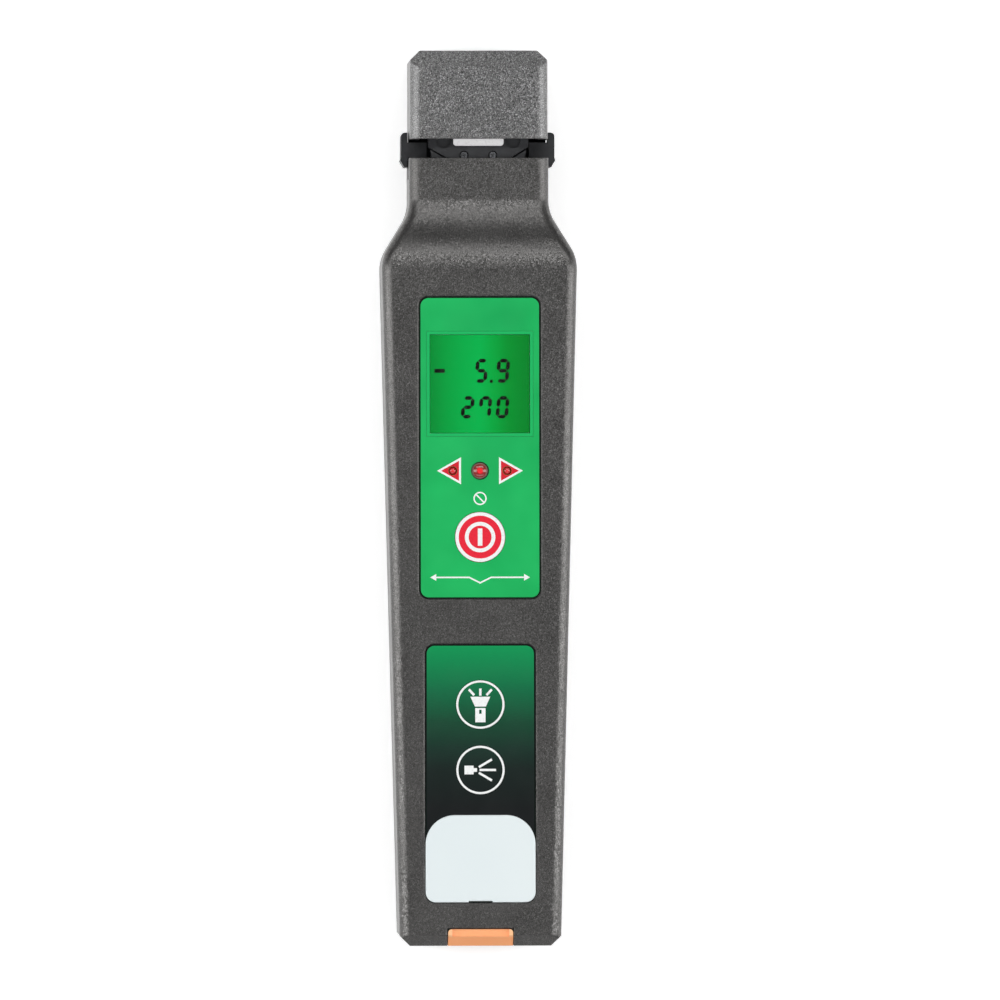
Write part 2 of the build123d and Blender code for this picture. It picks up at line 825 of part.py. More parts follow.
# A round push key: the cap in the film, a flange that holds it in the shell, and its stem
def make_key(y, radius):
    flange_top_z = front_inner_z - key_play
    with BuildPart() as key:
        with BuildSketch(Plane.XY.offset(flange_top_z - key_flange_thickness)):
            with Locations((0, y)):
                RegularPolygon(radius + key_flange, inner_sides)
        extrude(amount=key_flange_thickness)
        with BuildSketch(Plane.XY.offset(flange_top_z)):
            with Locations((0, y)):
                Circle(radius)
        extrude(amount=film_top_z + key_proud - flange_top_z)
        with BuildSketch(Plane.XY.offset(flange_top_z - key_flange_thickness)):
            with Locations((0, y)):
                RegularPolygon(key_stem_radius, inner_sides)
        extrude(amount=-key_stem_length)
    return key.part


switches = {name: make_switch(y) for name, (y, radius) in key_places.items()}
keys = {name: make_key(y, radius) for name, (y, radius) in key_places.items()}
for name in key_places:
    switches[name].label = name + "_switch"
    keys[name].label = name + "_key"


# The V of the gate: a nose above and a jaw below, a fixed gap apart
def nose_outline(rise, z, width, top_y):
    tip_y = nose_tip_y + rise
    corner_y = tip_y + width / 2 * gate_slope
    with BuildSketch(Plane.XY.offset(z)) as nose:
        with BuildLine():
            Polyline(
                (0, tip_y), (width / 2, corner_y), (width / 2, top_y),
                (-width / 2, top_y), (-width / 2, corner_y), close=True,
            )
        make_face()
        fillet(nose.vertices().sort_by(Axis.Y)[0], radius=nose_radius)
    return nose.sketch


def jaw_outline(drop, z):
    tip_y = nose_tip_y - drop
    top_y = tip_y + jaw_top_width / 2 * gate_slope
    with BuildSketch(Plane.XY.offset(z)) as jaw:
        with BuildLine():
            Polyline(
                (0, tip_y),
                (jaw_top_width / 2, top_y),
                (jaw_waist_width / 2, gate_bottom_y - jaw_ear_drop),
                (jaw_waist_width / 2, jaw_base_y),
                (-jaw_waist_width / 2, jaw_base_y),
                (-jaw_waist_width / 2, gate_bottom_y - jaw_ear_drop),
                (-jaw_top_width / 2, top_y),
                close=True,
            )
        make_face()
        valley = jaw.vertices().filter_by(lambda v: abs(v.X) < 0.01)
        fillet(valley, radius=nose_radius + jaw_gap)
    return jaw.sketch


gate_screw_y = gate_bottom_y + gate_screw_lift
strip_y = gate_bottom_y + strip_lift + strip_height / 2
gate_screw_places = [(-gate_screw_spacing / 2, gate_screw_y), (gate_screw_spacing / 2, gate_screw_y)]

# Anvil block: the fixed nose, grooved for the fibre, and its root on the spine
with BuildPart() as anvil_block:
    extrude(nose_outline(0, jaw_rear_z + slide_gap, nose_width, anvil_top_y),
            amount=rear_lip_thickness - slide_gap)
    extrude(nose_outline(groove, channel_rear_z, nose_width, anvil_top_y), amount=channel_width)
    with BuildSketch(Plane.XY.offset(parting_z)):
        with Locations((0, anvil_top_y - anvil_root_height / 2)):
            Rectangle(anvil_root_width, anvil_root_height)
    extrude(amount=channel_front_z - parting_z)
    with BuildSketch(Plane.XY.offset(channel_front_z)):
        with Locations((0, strip_y)):
            Rectangle(strip_width - 2 * window_ledge, strip_height - 2 * window_ledge)
    extrude(amount=-lamp_recess, mode=Mode.SUBTRACT)
    with BuildSketch(Plane.XY.offset(channel_front_z)):
        with Locations(*gate_screw_places):
            RegularPolygon(gate_screw_shank + sleeve_clearance, inner_sides)
    extrude(amount=-gate_screw_length, mode=Mode.SUBTRACT)
    with BuildSketch(Plane.XY.offset(parting_z)):
        with Locations(*anvil_screw_places):
            RegularPolygon(screw_radius + sleeve_clearance, inner_sides)
    extrude(amount=screw_length - (parting_z - screw_recess) + beyond, mode=Mode.SUBTRACT)
anvil_block.part.label = "anvil_block"

# Anvil plate: the black face of the nose, with its window, screw seats and two dimples
with BuildPart() as anvil_plate:
    extrude(nose_outline(0, channel_front_z, nose_width, anvil_top_y), amount=lip_thickness)
    with BuildSketch(Plane.XY.offset(channel_front_z)):
        with Locations((0, strip_y)):
            RectangleRounded(strip_width, strip_height, strip_corner)
        with Locations(*gate_screw_places):
            RegularPolygon(gate_screw_shank + 2 * sleeve_clearance, inner_sides)
    extrude(amount=lip_thickness, mode=Mode.SUBTRACT)
    with BuildSketch(Plane.XY.offset(plate_front_z)):
        with Locations(*gate_screw_places):
            RegularPolygon(gate_screw_head + sleeve_clearance, shown_sides)
        with Locations(
            (-dimple_spacing / 2, gate_bottom_y + dimple_lift),
            (dimple_spacing / 2, gate_bottom_y + dimple_lift),
        ):
            RegularPolygon(dimple_radius, shown_sides)
    extrude(amount=-dimple_depth, mode=Mode.SUBTRACT)
anvil_plate.part.label = "anvil_plate"

with BuildPart() as anvil_screws:
    with BuildSketch(Plane.XY.offset(plate_front_z - dimple_depth)):
        with Locations(*gate_screw_places):
            RegularPolygon(gate_screw_head, shown_sides)
    extrude(amount=dimple_depth - gate_screw_sink)
    with BuildSketch(Plane.XY.offset(plate_front_z - dimple_depth)):
        with Locations(*gate_screw_places):
            RegularPolygon(gate_screw_shank, inner_sides)
    extrude(amount=-gate_screw_length)
anvil_screws.part.label = "anvil_screws"

# White lamp window in the plate, and the small lamp behind it
with BuildPart() as gate_window:
    with BuildSketch(Plane.XY.offset(channel_front_z)):
        with Locations((0, strip_y)):
            RectangleRounded(
                strip_width - 2 * sleeve_clearance,
                strip_height - 2 * sleeve_clearance,
                strip_corner - sleeve_clearance,
            )
    extrude(amount=lip_thickness)
gate_window.part.label = "gate_window"

with BuildPart() as gate_lamp:
    lamp_inset = window_ledge + sleeve_clearance
    with BuildSketch(Plane.XY.offset(channel_front_z - lamp_recess)):
        with Locations((0, strip_y)):
            Rectangle(strip_width - 2 * lamp_inset, strip_height - 2 * lamp_inset)
    extrude(amount=lamp_recess - 2 * sleeve_clearance)
gate_lamp.part.label = "gate_lamp"

# Carriage jaw: the matching V, grooved for the fibre, with a pocket for each detector
detector_y = groove_tip_y + detector_reach * gate_slope
channel_z = (channel_front_z + channel_rear_z) / 2


# The can's seat plane, square to one slope of the V and facing into the jaw
def detector_plane(side, depth):
    direction = Vector(side * slope_sine, -slope_cosine, 0)
    start = Vector(side * detector_reach, detector_y, channel_z)
    return Plane(origin=start + direction * depth, z_dir=direction)


with BuildPart() as v_jaw:
    extrude(jaw_outline(lip_drop, jaw_rear_z), amount=rear_lip_thickness)
    extrude(jaw_outline(lip_drop + groove, channel_rear_z), amount=channel_width)
    extrude(jaw_outline(lip_drop, channel_front_z), amount=lip_thickness)
    for side in (-1, 1):
        with BuildSketch(detector_plane(side, -beyond / 2)):
            RegularPolygon(detector_radius + sleeve_clearance, inner_sides)
        extrude(amount=beyond / 2 + detector_set_back + detector_length, mode=Mode.SUBTRACT)
    with BuildSketch(Plane.XZ.offset(-jaw_base_y)):
        with Locations((-rod_spacing / 2, rod_z), (rod_spacing / 2, rod_z)):
            RegularPolygon(rod_radius + 2 * rod_clearance, inner_sides)
    extrude(amount=-carriage_travel, mode=Mode.SUBTRACT)
v_jaw.part.label = "v_jaw"


def make_detector(side):
    with BuildPart() as detector:
        with BuildSketch(detector_plane(side, detector_set_back)):
            RegularPolygon(detector_radius, inner_sides)
        extrude(amount=detector_length)
        with BuildSketch(detector_plane(side, detector_set_back)):
            RegularPolygon(detector_radius / 2, inner_sides)
        extrude(amount=-detector_set_back / 2)
    return detector.part


detectors = {"left": make_detector(-1), "right": make_detector(1)}
for name, detector in detectors.items():
    detector.label = "detector_" + name

# Carriage: a back plate, a shelf for the jaw, two arms and the finger lugs outside the case
arm_top_y = gate_bottom_y + arm_height - arm_drop
lug_inner_x = half_neck + lug_gap
lug_outer_x = lug_inner_x + lug_thickness
lug_top_y = gate_top_y + lug_top_lift
lug_bottom_y = lug_top_y - lug_height
with BuildPart() as carriage:
    with BuildSketch(Plane.XY.offset(carriage_rear_z)):
        with Locations((0, (shelf_y + arm_top_y) / 2)):
            Rectangle(carriage_width, arm_top_y - shelf_y)
    extrude(amount=carriage_plate)
    with BuildSketch(Plane.XY.offset(carriage_rear_z)):
        with Locations((0, shelf_y + carriage_shelf / 2)):
            Rectangle(carriage_width, carriage_shelf)
    extrude(amount=plate_front_z - carriage_rear_z)
    with BuildSketch(Plane.XY.offset(carriage_rear_z)):
        with Locations((0, arm_top_y - arm_height / 2)):
            Rectangle(2 * lug_inner_x + lug_thickness, arm_height)
            Rectangle(nose_width + 2 * slide_gap, arm_height, mode=Mode.SUBTRACT)
    extrude(amount=arm_depth)
    with BuildSketch(Plane.XY.offset(lug_back_z)) as lug_outlines:
        for side in (-1, 1):
            with BuildLine():
                Polyline(
                    (side * lug_inner_x, lug_top_y),
                    (side * lug_outer_x, lug_top_y),
                    (side * lug_outer_x, lug_bottom_y + lug_flare_height),
                    (side * (lug_outer_x + lug_flare), lug_bottom_y + lug_flare_height - lug_flare_edge),
                    (side * (lug_outer_x - lug_thickness / 2), lug_bottom_y),
                    (side * lug_inner_x, lug_bottom_y),
                    close=True,
                )
            make_face()
        lug_corners = lug_outlines.vertices().filter_by(
            lambda v: v.Y > lug_top_y - 0.01 and abs(v.X) > lug_outer_x - 0.01
        )
        fillet(lug_corners, radius=lug_corner)
    extrude(amount=carriage_rear_z + arm_depth - lug_back_z)
    with BuildSketch(Plane.XZ.offset(-shelf_y)):
        with Locations((-rod_spacing / 2, rod_z), (rod_spacing / 2, rod_z)):
            RegularPolygon(rod_radius + rod_clearance, inner_sides)
    extrude(amount=-carriage_shelf, mode=Mode.SUBTRACT)
carriage.part.label = "carriage"

# Guide rods in the rib, and the return springs round them
rod_base_y = rib_top_y - rib_thickness
rod_top_y = jaw_base_y - slide_gap
with BuildPart() as guide_rods:
    with BuildSketch(Plane.XZ.offset(-rod_base_y)):
        with Locations((-rod_spacing / 2, rod_z), (rod_spacing / 2, rod_z)):
            RegularPolygon(rod_radius, inner_sides)
    extrude(amount=rod_base_y - rod_top_y)
guide_rods.part.label = "guide_rods"


# A coil of square wire, in short straight runs from one section to the next
def make_spring(x):
    height = rib_drop - 2 * spring_wire - 2 * sleeve_clearance
    start_y = rib_top_y + spring_wire + sleeve_clearance
    steps = spring_turns * spring_sides
    rise = height / (2 * math.pi * spring_turns)
    with BuildPart() as spring:
        for step in range(steps + 1):
            turn = 2 * math.pi * step / spring_sides
            outward = Vector(math.cos(turn), 0, math.sin(turn))
            onward = Vector(-spring_radius * math.sin(turn), rise, spring_radius * math.cos(turn))
            centre = Vector(x, start_y + rise * turn, rod_z) + outward * spring_radius
            with BuildSketch(Plane(origin=centre, x_dir=outward, z_dir=onward)):
                Rectangle(1.5 * spring_wire, 1.5 * spring_wire)
        loft(ruled=True)
    return spring.part


springs = {"left": make_spring(-rod_spacing / 2), "right": make_spring(rod_spacing / 2)}
for name, spring in springs.items():
    spring.label = "return_spring_" + name

# Ferrule sleeve and the laser behind it
with BuildPart() as port_sleeve:
    with BuildSketch(Plane.XZ.offset(-sleeve_y)):
        with Locations((0, port_z)):
            Circle(sleeve_radius)
            Circle(ferrule_bore / 2, mode=Mode.SUBTRACT)
    extrude(amount=-sleeve_length)
port_sleeve.part.label = "port_sleeve"

with BuildPart() as laser_module:
    with BuildSketch(Plane.XZ.offset(-sleeve_y - sleeve_length)):
        with Locations((0, port_z)):
            Circle(laser_radius)
    extrude(amount=-laser_length)
laser_module.part.label = "laser_module"

# Flip cover: a plate over the port with a lip on the front face, hinged at the back
with BuildPart() as port_cover:
    with BuildSketch(Plane.YZ):
        with BuildLine():
            Polyline(
                (0, hinge_z),
                (0, body_depth),
                (cover_lip_height, body_depth),
                (cover_lip_height, body_depth - cover_lip_depth),
                (cover_thickness, body_depth - cover_lip_depth),
                (cover_thickness, hinge_z),
                close=True,
            )
        make_face()
        with Locations((hinge_y, hinge_z)):
            Circle(knuckle_radius)
    extrude(amount=cover_width / 2, both=True)
    with BuildSketch(Plane.XY.offset(body_depth)):
        with Locations((0, cover_lip_height - thumb_height / 2)):
            Rectangle(cover_width - 2 * thumb_margin, thumb_height)
    extrude(amount=-thumb_recess, mode=Mode.SUBTRACT)
    lip_corners = port_cover.edges().filter_by(Axis.Z).filter_by(
        lambda e: e.center().Y > cover_lip_height - 0.1 and abs(e.center().X) > cover_width / 2 - 0.1
    )
    fillet(lip_corners, radius=lip_corner)
    with BuildSketch(Plane.YZ):
        with Locations((hinge_y, hinge_z)):
            RegularPolygon(hinge_pin_radius + sleeve_clearance, shown_sides)
    extrude(amount=cover_width, both=True, mode=Mode.SUBTRACT)
    add(bevels, mode=Mode.SUBTRACT)
port_cover.part.label = "port_cover"

with BuildPart() as cover_pin:
    with BuildSketch(Plane.YZ):
        with Locations((hinge_y, hinge_z)):
            RegularPolygon(hinge_pin_radius, shown_sides)
    extrude(amount=half_pin, both=True)
cover_pin.part.label = "cover_pin"

# Battery door: a dovetailed plate that slides off past the foot, with grip grooves
with BuildPart() as battery_door:
    with BuildSketch(Plane.XZ):
        with BuildLine():
            Polyline(
                (-door_width / 2, 0),
                (door_width / 2, 0),
                (door_width / 2 + door_taper, door_thickness),
                (-door_width / 2 - door_taper, door_thickness),
                close=True,
            )
        make_face()
    extrude(amount=-door_length)
    chamfer(battery_door.edges().group_by(Axis.Y)[0].sort_by(Axis.Z)[0], length=back_chamfer)
    with BuildSketch(Plane.XY):
        with Locations((0, door_length - wall - door_ridges * ridge_pitch / 2)):
            with GridLocations(1, ridge_pitch, 1, door_ridges):
                Rectangle(door_width / 2, ridge_width)
    extrude(amount=ridge_depth, mode=Mode.SUBTRACT)
battery_door.part.label = "battery_door"


# Two cells side by side, each with its small button end
def make_cell(side):
    x = side * (cell_radius + cell_gap / 2)
    start_y = bay_foot + bay_end_space / 2
    with BuildPart() as cell:
        with BuildSketch(Plane.XZ.offset(-start_y)):
            with Locations((x, cell_z)):
                Circle(cell_radius)
        extrude(amount=-(cell_length - button_length))
        with BuildSketch(Plane.XZ.offset(-start_y - cell_length + button_length)):
            with Locations((x, cell_z)):
                RegularPolygon(button_radius, inner_sides)
        extrude(amount=-button_length)
    return cell.part


cells = {"left": make_cell(-1), "right": make_cell(1)}
for name, cell in cells.items():
    cell.label = "battery_" + name


# Sprung contact plates at the two ends of the bay
def make_contacts(wall_y, toward, widths):
    with BuildPart() as contacts:
        for x, width in widths:
            with BuildSketch(Plane.YZ.offset(x - width / 2)):
                with BuildLine():
                    Polyline(
                        (wall_y, cell_z - contact_half_height),
                        (wall_y + toward * contact_thickness, cell_z - contact_half_height),
                        (wall_y + toward * contact_bulge, cell_z),
                        (wall_y + toward * contact_thickness, cell_z + contact_half_height),
                        (wall_y, cell_z + contact_half_height),
                        close=True,
                    )
                make_face()
            extrude(amount=width)
    return contacts.part


contact_pitch = cell_radius + cell_gap / 2
end_contacts = make_contacts(
    bay_foot + bay_length, -1, [(-contact_pitch, contact_width), (contact_pitch, contact_width)]
)
end_contacts.label = "battery_contacts"
bridge = make_contacts(bay_foot, 1, [(0, 2 * contact_pitch + contact_width)])
bridge.label = "battery_bridge"


# Screws driven from the back, heads sunk in their seats
def make_screws(places, reach):
    with BuildPart() as screws:
        with BuildSketch(Plane.XY.offset(screw_recess - screw_head_height)):
            with Locations(*places):
                RegularPolygon(screw_head_radius, shown_sides)
        extrude(amount=screw_head_height)
        with BuildSketch(Plane.XY.offset(screw_recess)):
            with Locations(*places):
                RegularPolygon(screw_radius, inner_sides)
        extrude(amount=reach)
    return screws.part


housing_screws = make_screws(screw_places, screw_length)
housing_screws.label = "housing_screws"
head_screws = make_screws(cap_screw_places + anvil_screw_places, screw_length)
head_screws.label = "head_screws"

pieces = [
    front_shell.part,
    rear_shell.part,
    head_cap.part,
    display_overlay.part,
    display_lens.part,
    key_overlay.part,
    name_plate.part,
    lcd_module.part,
    main_board.part,
    board_screws.part,
    buzzer.part,
    *lamps.values(),
    *switches.values(),
    *keys.values(),
    anvil_block.part,
    anvil_plate.part,
    anvil_screws.part,
    gate_window.part,
    gate_lamp.part,
    v_jaw.part,
    *detectors.values(),
    carriage.part,
    guide_rods.part,
    *springs.values(),
    port_sleeve.part,
    laser_module.part,
    port_cover.part,
    cover_pin.part,
    battery_door.part,
    *cells.values(),
    end_contacts,
    bridge,
    housing_screws,
    head_screws,
]
# The origin goes on the back face, under the middle of the length
to_origin = Location((0, -length / 2, 0))
os.makedirs("parts", exist_ok=True)
for piece in pieces:
    placed = piece.moved(to_origin)
    placed.label = piece.label
    export_step(placed, "parts/" + placed.label + ".step")
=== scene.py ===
import bpy
import math
from mathutils import Matrix, Vector


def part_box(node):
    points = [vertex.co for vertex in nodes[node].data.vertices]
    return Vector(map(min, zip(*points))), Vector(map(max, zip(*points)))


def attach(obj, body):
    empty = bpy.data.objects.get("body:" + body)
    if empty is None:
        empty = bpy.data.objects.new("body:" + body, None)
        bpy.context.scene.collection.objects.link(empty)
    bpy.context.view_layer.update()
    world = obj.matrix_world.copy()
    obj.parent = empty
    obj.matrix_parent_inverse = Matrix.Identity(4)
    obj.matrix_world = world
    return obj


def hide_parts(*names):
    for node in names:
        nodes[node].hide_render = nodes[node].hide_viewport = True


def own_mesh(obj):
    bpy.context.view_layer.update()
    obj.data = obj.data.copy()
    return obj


# Fibre optic identifier, seen from straight above as it lies on its back.
# Blender works in metres; sizes here are in millimetres times MM.
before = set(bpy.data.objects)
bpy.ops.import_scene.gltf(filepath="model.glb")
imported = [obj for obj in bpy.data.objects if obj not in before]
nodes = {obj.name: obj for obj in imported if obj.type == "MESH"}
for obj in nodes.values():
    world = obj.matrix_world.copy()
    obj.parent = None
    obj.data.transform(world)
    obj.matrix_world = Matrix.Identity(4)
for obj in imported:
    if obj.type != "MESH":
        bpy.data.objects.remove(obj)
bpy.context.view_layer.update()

MM = 0.001

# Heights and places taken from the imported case
lens_low, lens_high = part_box("display_lens")
FILM_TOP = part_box("display_overlay")[1].z / MM
GLASS_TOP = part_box("lcd_module")[1].z / MM
DISPLAY_Y = (lens_low.y + lens_high.y) / 2 / MM
LENS_HALF_WIDTH = (lens_high.x - lens_low.x) / 2 / MM
LENS_HALF_HEIGHT = (lens_high.y - lens_low.y) / 2 / MM
LENS_RIM = 0.7
PARTING_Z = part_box("front_shell")[0].z / MM

# Thickness of the printed ink
PRINT = 0.03

# Corner of the two films, and the width of the painted shade along their edges, for the gap round them
FILM_CORNER, GAP_SHADE_WIDTH = 2.05, 0.3


def middle(node):
    low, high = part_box(node)
    return (low.x + high.x) / 2 / MM, (low.y + high.y) / 2 / MM


def top_of(node):
    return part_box(node)[1].z / MM


# Small helpers for shader nodes

# A display colour, 0 to 255, as the linear values that a shader takes
def tone(red, green, blue):
    values = []
    for value in (red, green, blue):
        value /= 255.0
        values.append(value / 12.92 if value <= 0.04045 else ((value + 0.055) / 1.055) ** 2.4)
    return (*values, 1.0)


def start_material(name):
    material = bpy.data.materials.new(name)
    material.use_nodes = True
    tree = material.node_tree
    return material, tree, tree.nodes["Principled BSDF"]


def put(tree, kind, settings=None, **inputs):
    made = tree.nodes.new(kind)
    for key, value in (settings or {}).items():
        setattr(made, key, value)
    for key, value in inputs.items():
        socket = made.inputs[key.replace("_", " ")]
        if isinstance(value, bpy.types.NodeSocket):
            tree.links.new(value, socket)
        else:
            socket.default_value = value
    return made


def feed(tree, socket, value):
    if isinstance(value, bpy.types.NodeSocket):
        tree.links.new(value, socket)
    else:
        socket.default_value = value


def sums(tree, operation, first, second=0.0, third=0.0):
    made = tree.nodes.new("ShaderNodeMath")
    made.operation = operation
    for socket, value in zip(made.inputs, (first, second, third)):
        feed(tree, socket, value)
    return made.outputs[0]


def mixed(tree, share, first, second):
    made = tree.nodes.new("ShaderNodeMix")
    made.data_type = "RGBA"
    feed(tree, made.inputs[0], share)
    feed(tree, made.inputs[6], first)
    feed(tree, made.inputs[7], second)
    return made.outputs[2]


def ramp(tree, share, stops):
    made = tree.nodes.new("ShaderNodeValToRGB")
    steps = made.color_ramp.elements
    while len(steps) < len(stops):
        steps.new(0.5)
    for step, (place, colour) in zip(steps, stops):
        step.position = place
        step.color = colour
    tree.links.new(share, made.inputs[0])
    return made.outputs[0]


def grey(value):
    return tone(value, value, value)


def object_place(tree):
    coords = tree.nodes.new("ShaderNodeTexCoord").outputs["Object"]
    parts = put(tree, "ShaderNodeSeparateXYZ", Vector=coords)
    return coords, parts.outputs[0], parts.outputs[1], parts.outputs[2]


# A value that goes from 0 to 1 as a coordinate goes from low to high, in millimetres
def along(tree, coordinate, low, high):
    made = tree.nodes.new("ShaderNodeMapRange")
    feed(tree, made.inputs["Value"], coordinate)
    made.inputs["From Min"].default_value = low * MM
    made.inputs["From Max"].default_value = high * MM
    return made.outputs[0]


# 1 within a band along the inside of a rounded rectangle, given by a node's box, else 0
def edge_band(tree, x, y, node, corner, width):
    low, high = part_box(node)
    offsets, squares = [], []
    for place, start, end in ((x, low.x, high.x), (y, low.y, high.y)):
        from_middle = sums(tree, "ABSOLUTE", sums(tree, "SUBTRACT", place, (start + end) / 2))
        offset = sums(tree, "SUBTRACT", from_middle, (end - start) / 2 - corner * MM)
        offsets.append(offset)
        squares.append(sums(tree, "POWER", sums(tree, "MAXIMUM", offset, 0.0), 2.0))
    beyond = sums(tree, "SQRT", sums(tree, "ADD", *squares))
    within = sums(tree, "MINIMUM", sums(tree, "MAXIMUM", *offsets), 0.0)
    return sums(tree, "GREATER_THAN", sums(tree, "ADD", beyond, within), (corner - width) * MM)


# A noise value, its features about size millimetres across
def clouds(tree, coords, size, detail):
    return put(tree, "ShaderNodeTexNoise", Vector=coords, Scale=1.0 / (size * MM), Detail=detail).outputs[0]


# The coordinates multiplied by a scale on each axis
def stretched(tree, coords, scale):
    return put(tree, "ShaderNodeMapping", Vector=coords, Scale=scale).outputs[0]


# Fine unevenness on a surface: grain a millimetre or less across, as a bump
def grain(tree, shader, coords, size, strength, distance, normal=None):
    noise = clouds(tree, coords, size, 3.0)
    bump = put(tree, "ShaderNodeBump", Strength=strength, Distance=distance * MM, Height=noise)
    if normal is not None:
        tree.links.new(normal, bump.inputs["Normal"])
    tree.links.new(bump.outputs[0], shader.inputs["Normal"])


# Roughness that drifts between two values
def rough_range(tree, shader, coords, size, low, high):
    noise = clouds(tree, coords, size, 2.0)
    made = put(tree, "ShaderNodeMapRange", Value=noise, From_Min=0.3, From_Max=0.7, To_Min=low, To_Max=high)
    tree.links.new(made.outputs[0], shader.inputs["Roughness"])


# Materials

# Dark grey paint with metal flakes, a faint orange peel and a painted shade line where the shells part, standing
# for the shadow in the gap
def case_paint(name, dark, light, spark):
    material, tree, shader = start_material(name)
    coords, _, _, z = object_place(tree)
    coarse_flake, fine_flake, flake_tilt, parting_shade_half, edge_ease = 0.19, 0.11, 0.22, 0.11, 0.5
    flakes = put(tree, "ShaderNodeTexVoronoi", Vector=coords, Scale=1.0 / (coarse_flake * MM))
    fine = put(tree, "ShaderNodeTexVoronoi", Vector=coords, Scale=1.0 / (fine_flake * MM))
    coarse_share = put(tree, "ShaderNodeRGBToBW", Color=flakes.outputs["Color"]).outputs[0]
    fine_share = put(tree, "ShaderNodeRGBToBW", Color=fine.outputs["Color"]).outputs[0]
    share = sums(
        tree, "ADD", sums(tree, "MULTIPLY", coarse_share, 0.6), sums(tree, "MULTIPLY", fine_share, 0.4))
    speckle = ramp(tree, share, [(0.25, dark), (0.5, light), (0.66, light), (0.78, spark)])
    # Painted shade: a dark band along the parting plane, for the shadow in the gap between the shells
    parting_shade = sums(tree, "COMPARE", z, PARTING_Z * MM, parting_shade_half * MM)
    colour = mixed(tree, parting_shade, speckle, grey(16))
    tree.links.new(colour, shader.inputs["Base Color"])
    tilt = put(tree, "ShaderNodeVectorMath", {"operation": "SUBTRACT"})
    tree.links.new(flakes.outputs["Color"], tilt.inputs[0])
    tilt.inputs[1].default_value = (0.5, 0.5, 0.5)
    small = put(tree, "ShaderNodeVectorMath", {"operation": "SCALE"}, Scale=flake_tilt)
    tree.links.new(tilt.outputs[0], small.inputs[0])
    facing = put(tree, "ShaderNodeVectorMath", {"operation": "ADD"})
    eased = put(tree, "ShaderNodeBevel", {"samples": 4}, Radius=edge_ease * MM)
    tree.links.new(eased.outputs[0], facing.inputs[0])
    tree.links.new(small.outputs[0], facing.inputs[1])
    turned = put(tree, "ShaderNodeVectorMath", {"operation": "NORMALIZE"})
    tree.links.new(facing.outputs[0], turned.inputs[0])
    grain(tree, shader, coords, 0.5, 0.25, 0.03, turned.outputs[0])
    shader.inputs["Metallic"].default_value = 0.8
    rough_range(tree, shader, coords, 9.0, 0.3, 0.36)
    return material


# Black moulded plastic with a fine spark-eroded grain
def moulded_black(name, colour, low, high):
    material, tree, shader = start_material(name)
    coords = object_place(tree)[0]
    wear = clouds(tree, coords, 2.5, 4.0)
    paler = tuple(min(1.0, c * 1.7) for c in colour[:3]) + (1.0,)
    tree.links.new(ramp(tree, wear, [(0.4, colour), (0.75, paler)]), shader.inputs["Base Color"])
    grain(tree, shader, coords, 0.18, 0.35, 0.03)
    rough_range(tree, shader, coords, 3.0, low, high)
    return material


# Printed polyester film: an even colour with a slight tooth, and painted shade along its edge for the gap round
# it
def printed_film(name, node, colour):
    material, tree, shader = start_material(name)
    coords, x, y, _ = object_place(tree)
    cloud = clouds(tree, coords, 14, 2.0)
    paler = tuple(min(1.0, c * 1.12 + 0.004) for c in colour[:3]) + (1.0,)
    deeper = tuple(c * 0.9 for c in colour[:3]) + (1.0,)
    # Painted shade: a dark band along the film's edge, for the shadow in the gap round it
    gap_shade = edge_band(tree, x, y, node, FILM_CORNER, GAP_SHADE_WIDTH)
    print_colour = mixed(tree, gap_shade, ramp(tree, cloud, [(0.3, deeper), (0.7, paler)]), tone(10, 34, 22))
    tree.links.new(print_colour, shader.inputs["Base Color"])
    grain(tree, shader, coords, 0.12, 0.06, 0.01)
    rough_range(tree, shader, coords, 6.0, 0.2, 0.27)
    shader.inputs["Specular IOR Level"].default_value = 0.35
    return material


# Key film: green at the head end, fading to black through fine screen printing
def fading_film(name, node, low_y, high_y):
    material, tree, shader = start_material(name)
    coords, x, y, _ = object_place(tree)
    place = along(tree, y, low_y, high_y)
    rows = clouds(tree, stretched(tree, coords, (1.0, 9.0, 1.0)), 1.4, 3.0)
    shaken = sums(tree, "ADD", place, sums(tree, "MULTIPLY", sums(tree, "SUBTRACT", rows, 0.5), 0.05))
    colour = ramp(tree, shaken, [
        (0.36, tone(24, 27, 28)), (0.52, tone(25, 37, 34)), (0.60, tone(26, 52, 43)),
        (0.70, tone(25, 72, 51)), (0.82, tone(20, 106, 68)), (1.0, tone(14, 148, 84)),
    ])
    # Painted shade: a dark band along the film's edge, for the shadow in the gap round it
    gap_shade = edge_band(tree, x, y, node, FILM_CORNER, GAP_SHADE_WIDTH)
    tree.links.new(mixed(tree, gap_shade, colour, tone(8, 20, 16)), shader.inputs["Base Color"])
    grain(tree, shader, coords, 0.12, 0.06, 0.01)
    rough_range(tree, shader, coords, 6.0, 0.2, 0.27)
    shader.inputs["Specular IOR Level"].default_value = 0.35
    return material


# White or coloured ink, with the thickness of screen printing
def print_ink(name, colour):
    material, tree, shader = start_material(name)
    coords = object_place(tree)[0]
    cover = clouds(tree, coords, 0.5, 3.0)
    thinner = tuple(c * 0.86 for c in colour[:3]) + (1.0,)
    tree.links.new(ramp(tree, cover, [(0.28, thinner), (0.5, colour)]), shader.inputs["Base Color"])
    shader.inputs["Roughness"].default_value = 0.28
    shader.inputs["Specular IOR Level"].default_value = 0.35
    grain(tree, shader, coords, 0.15, 0.06, 0.01)
    return material


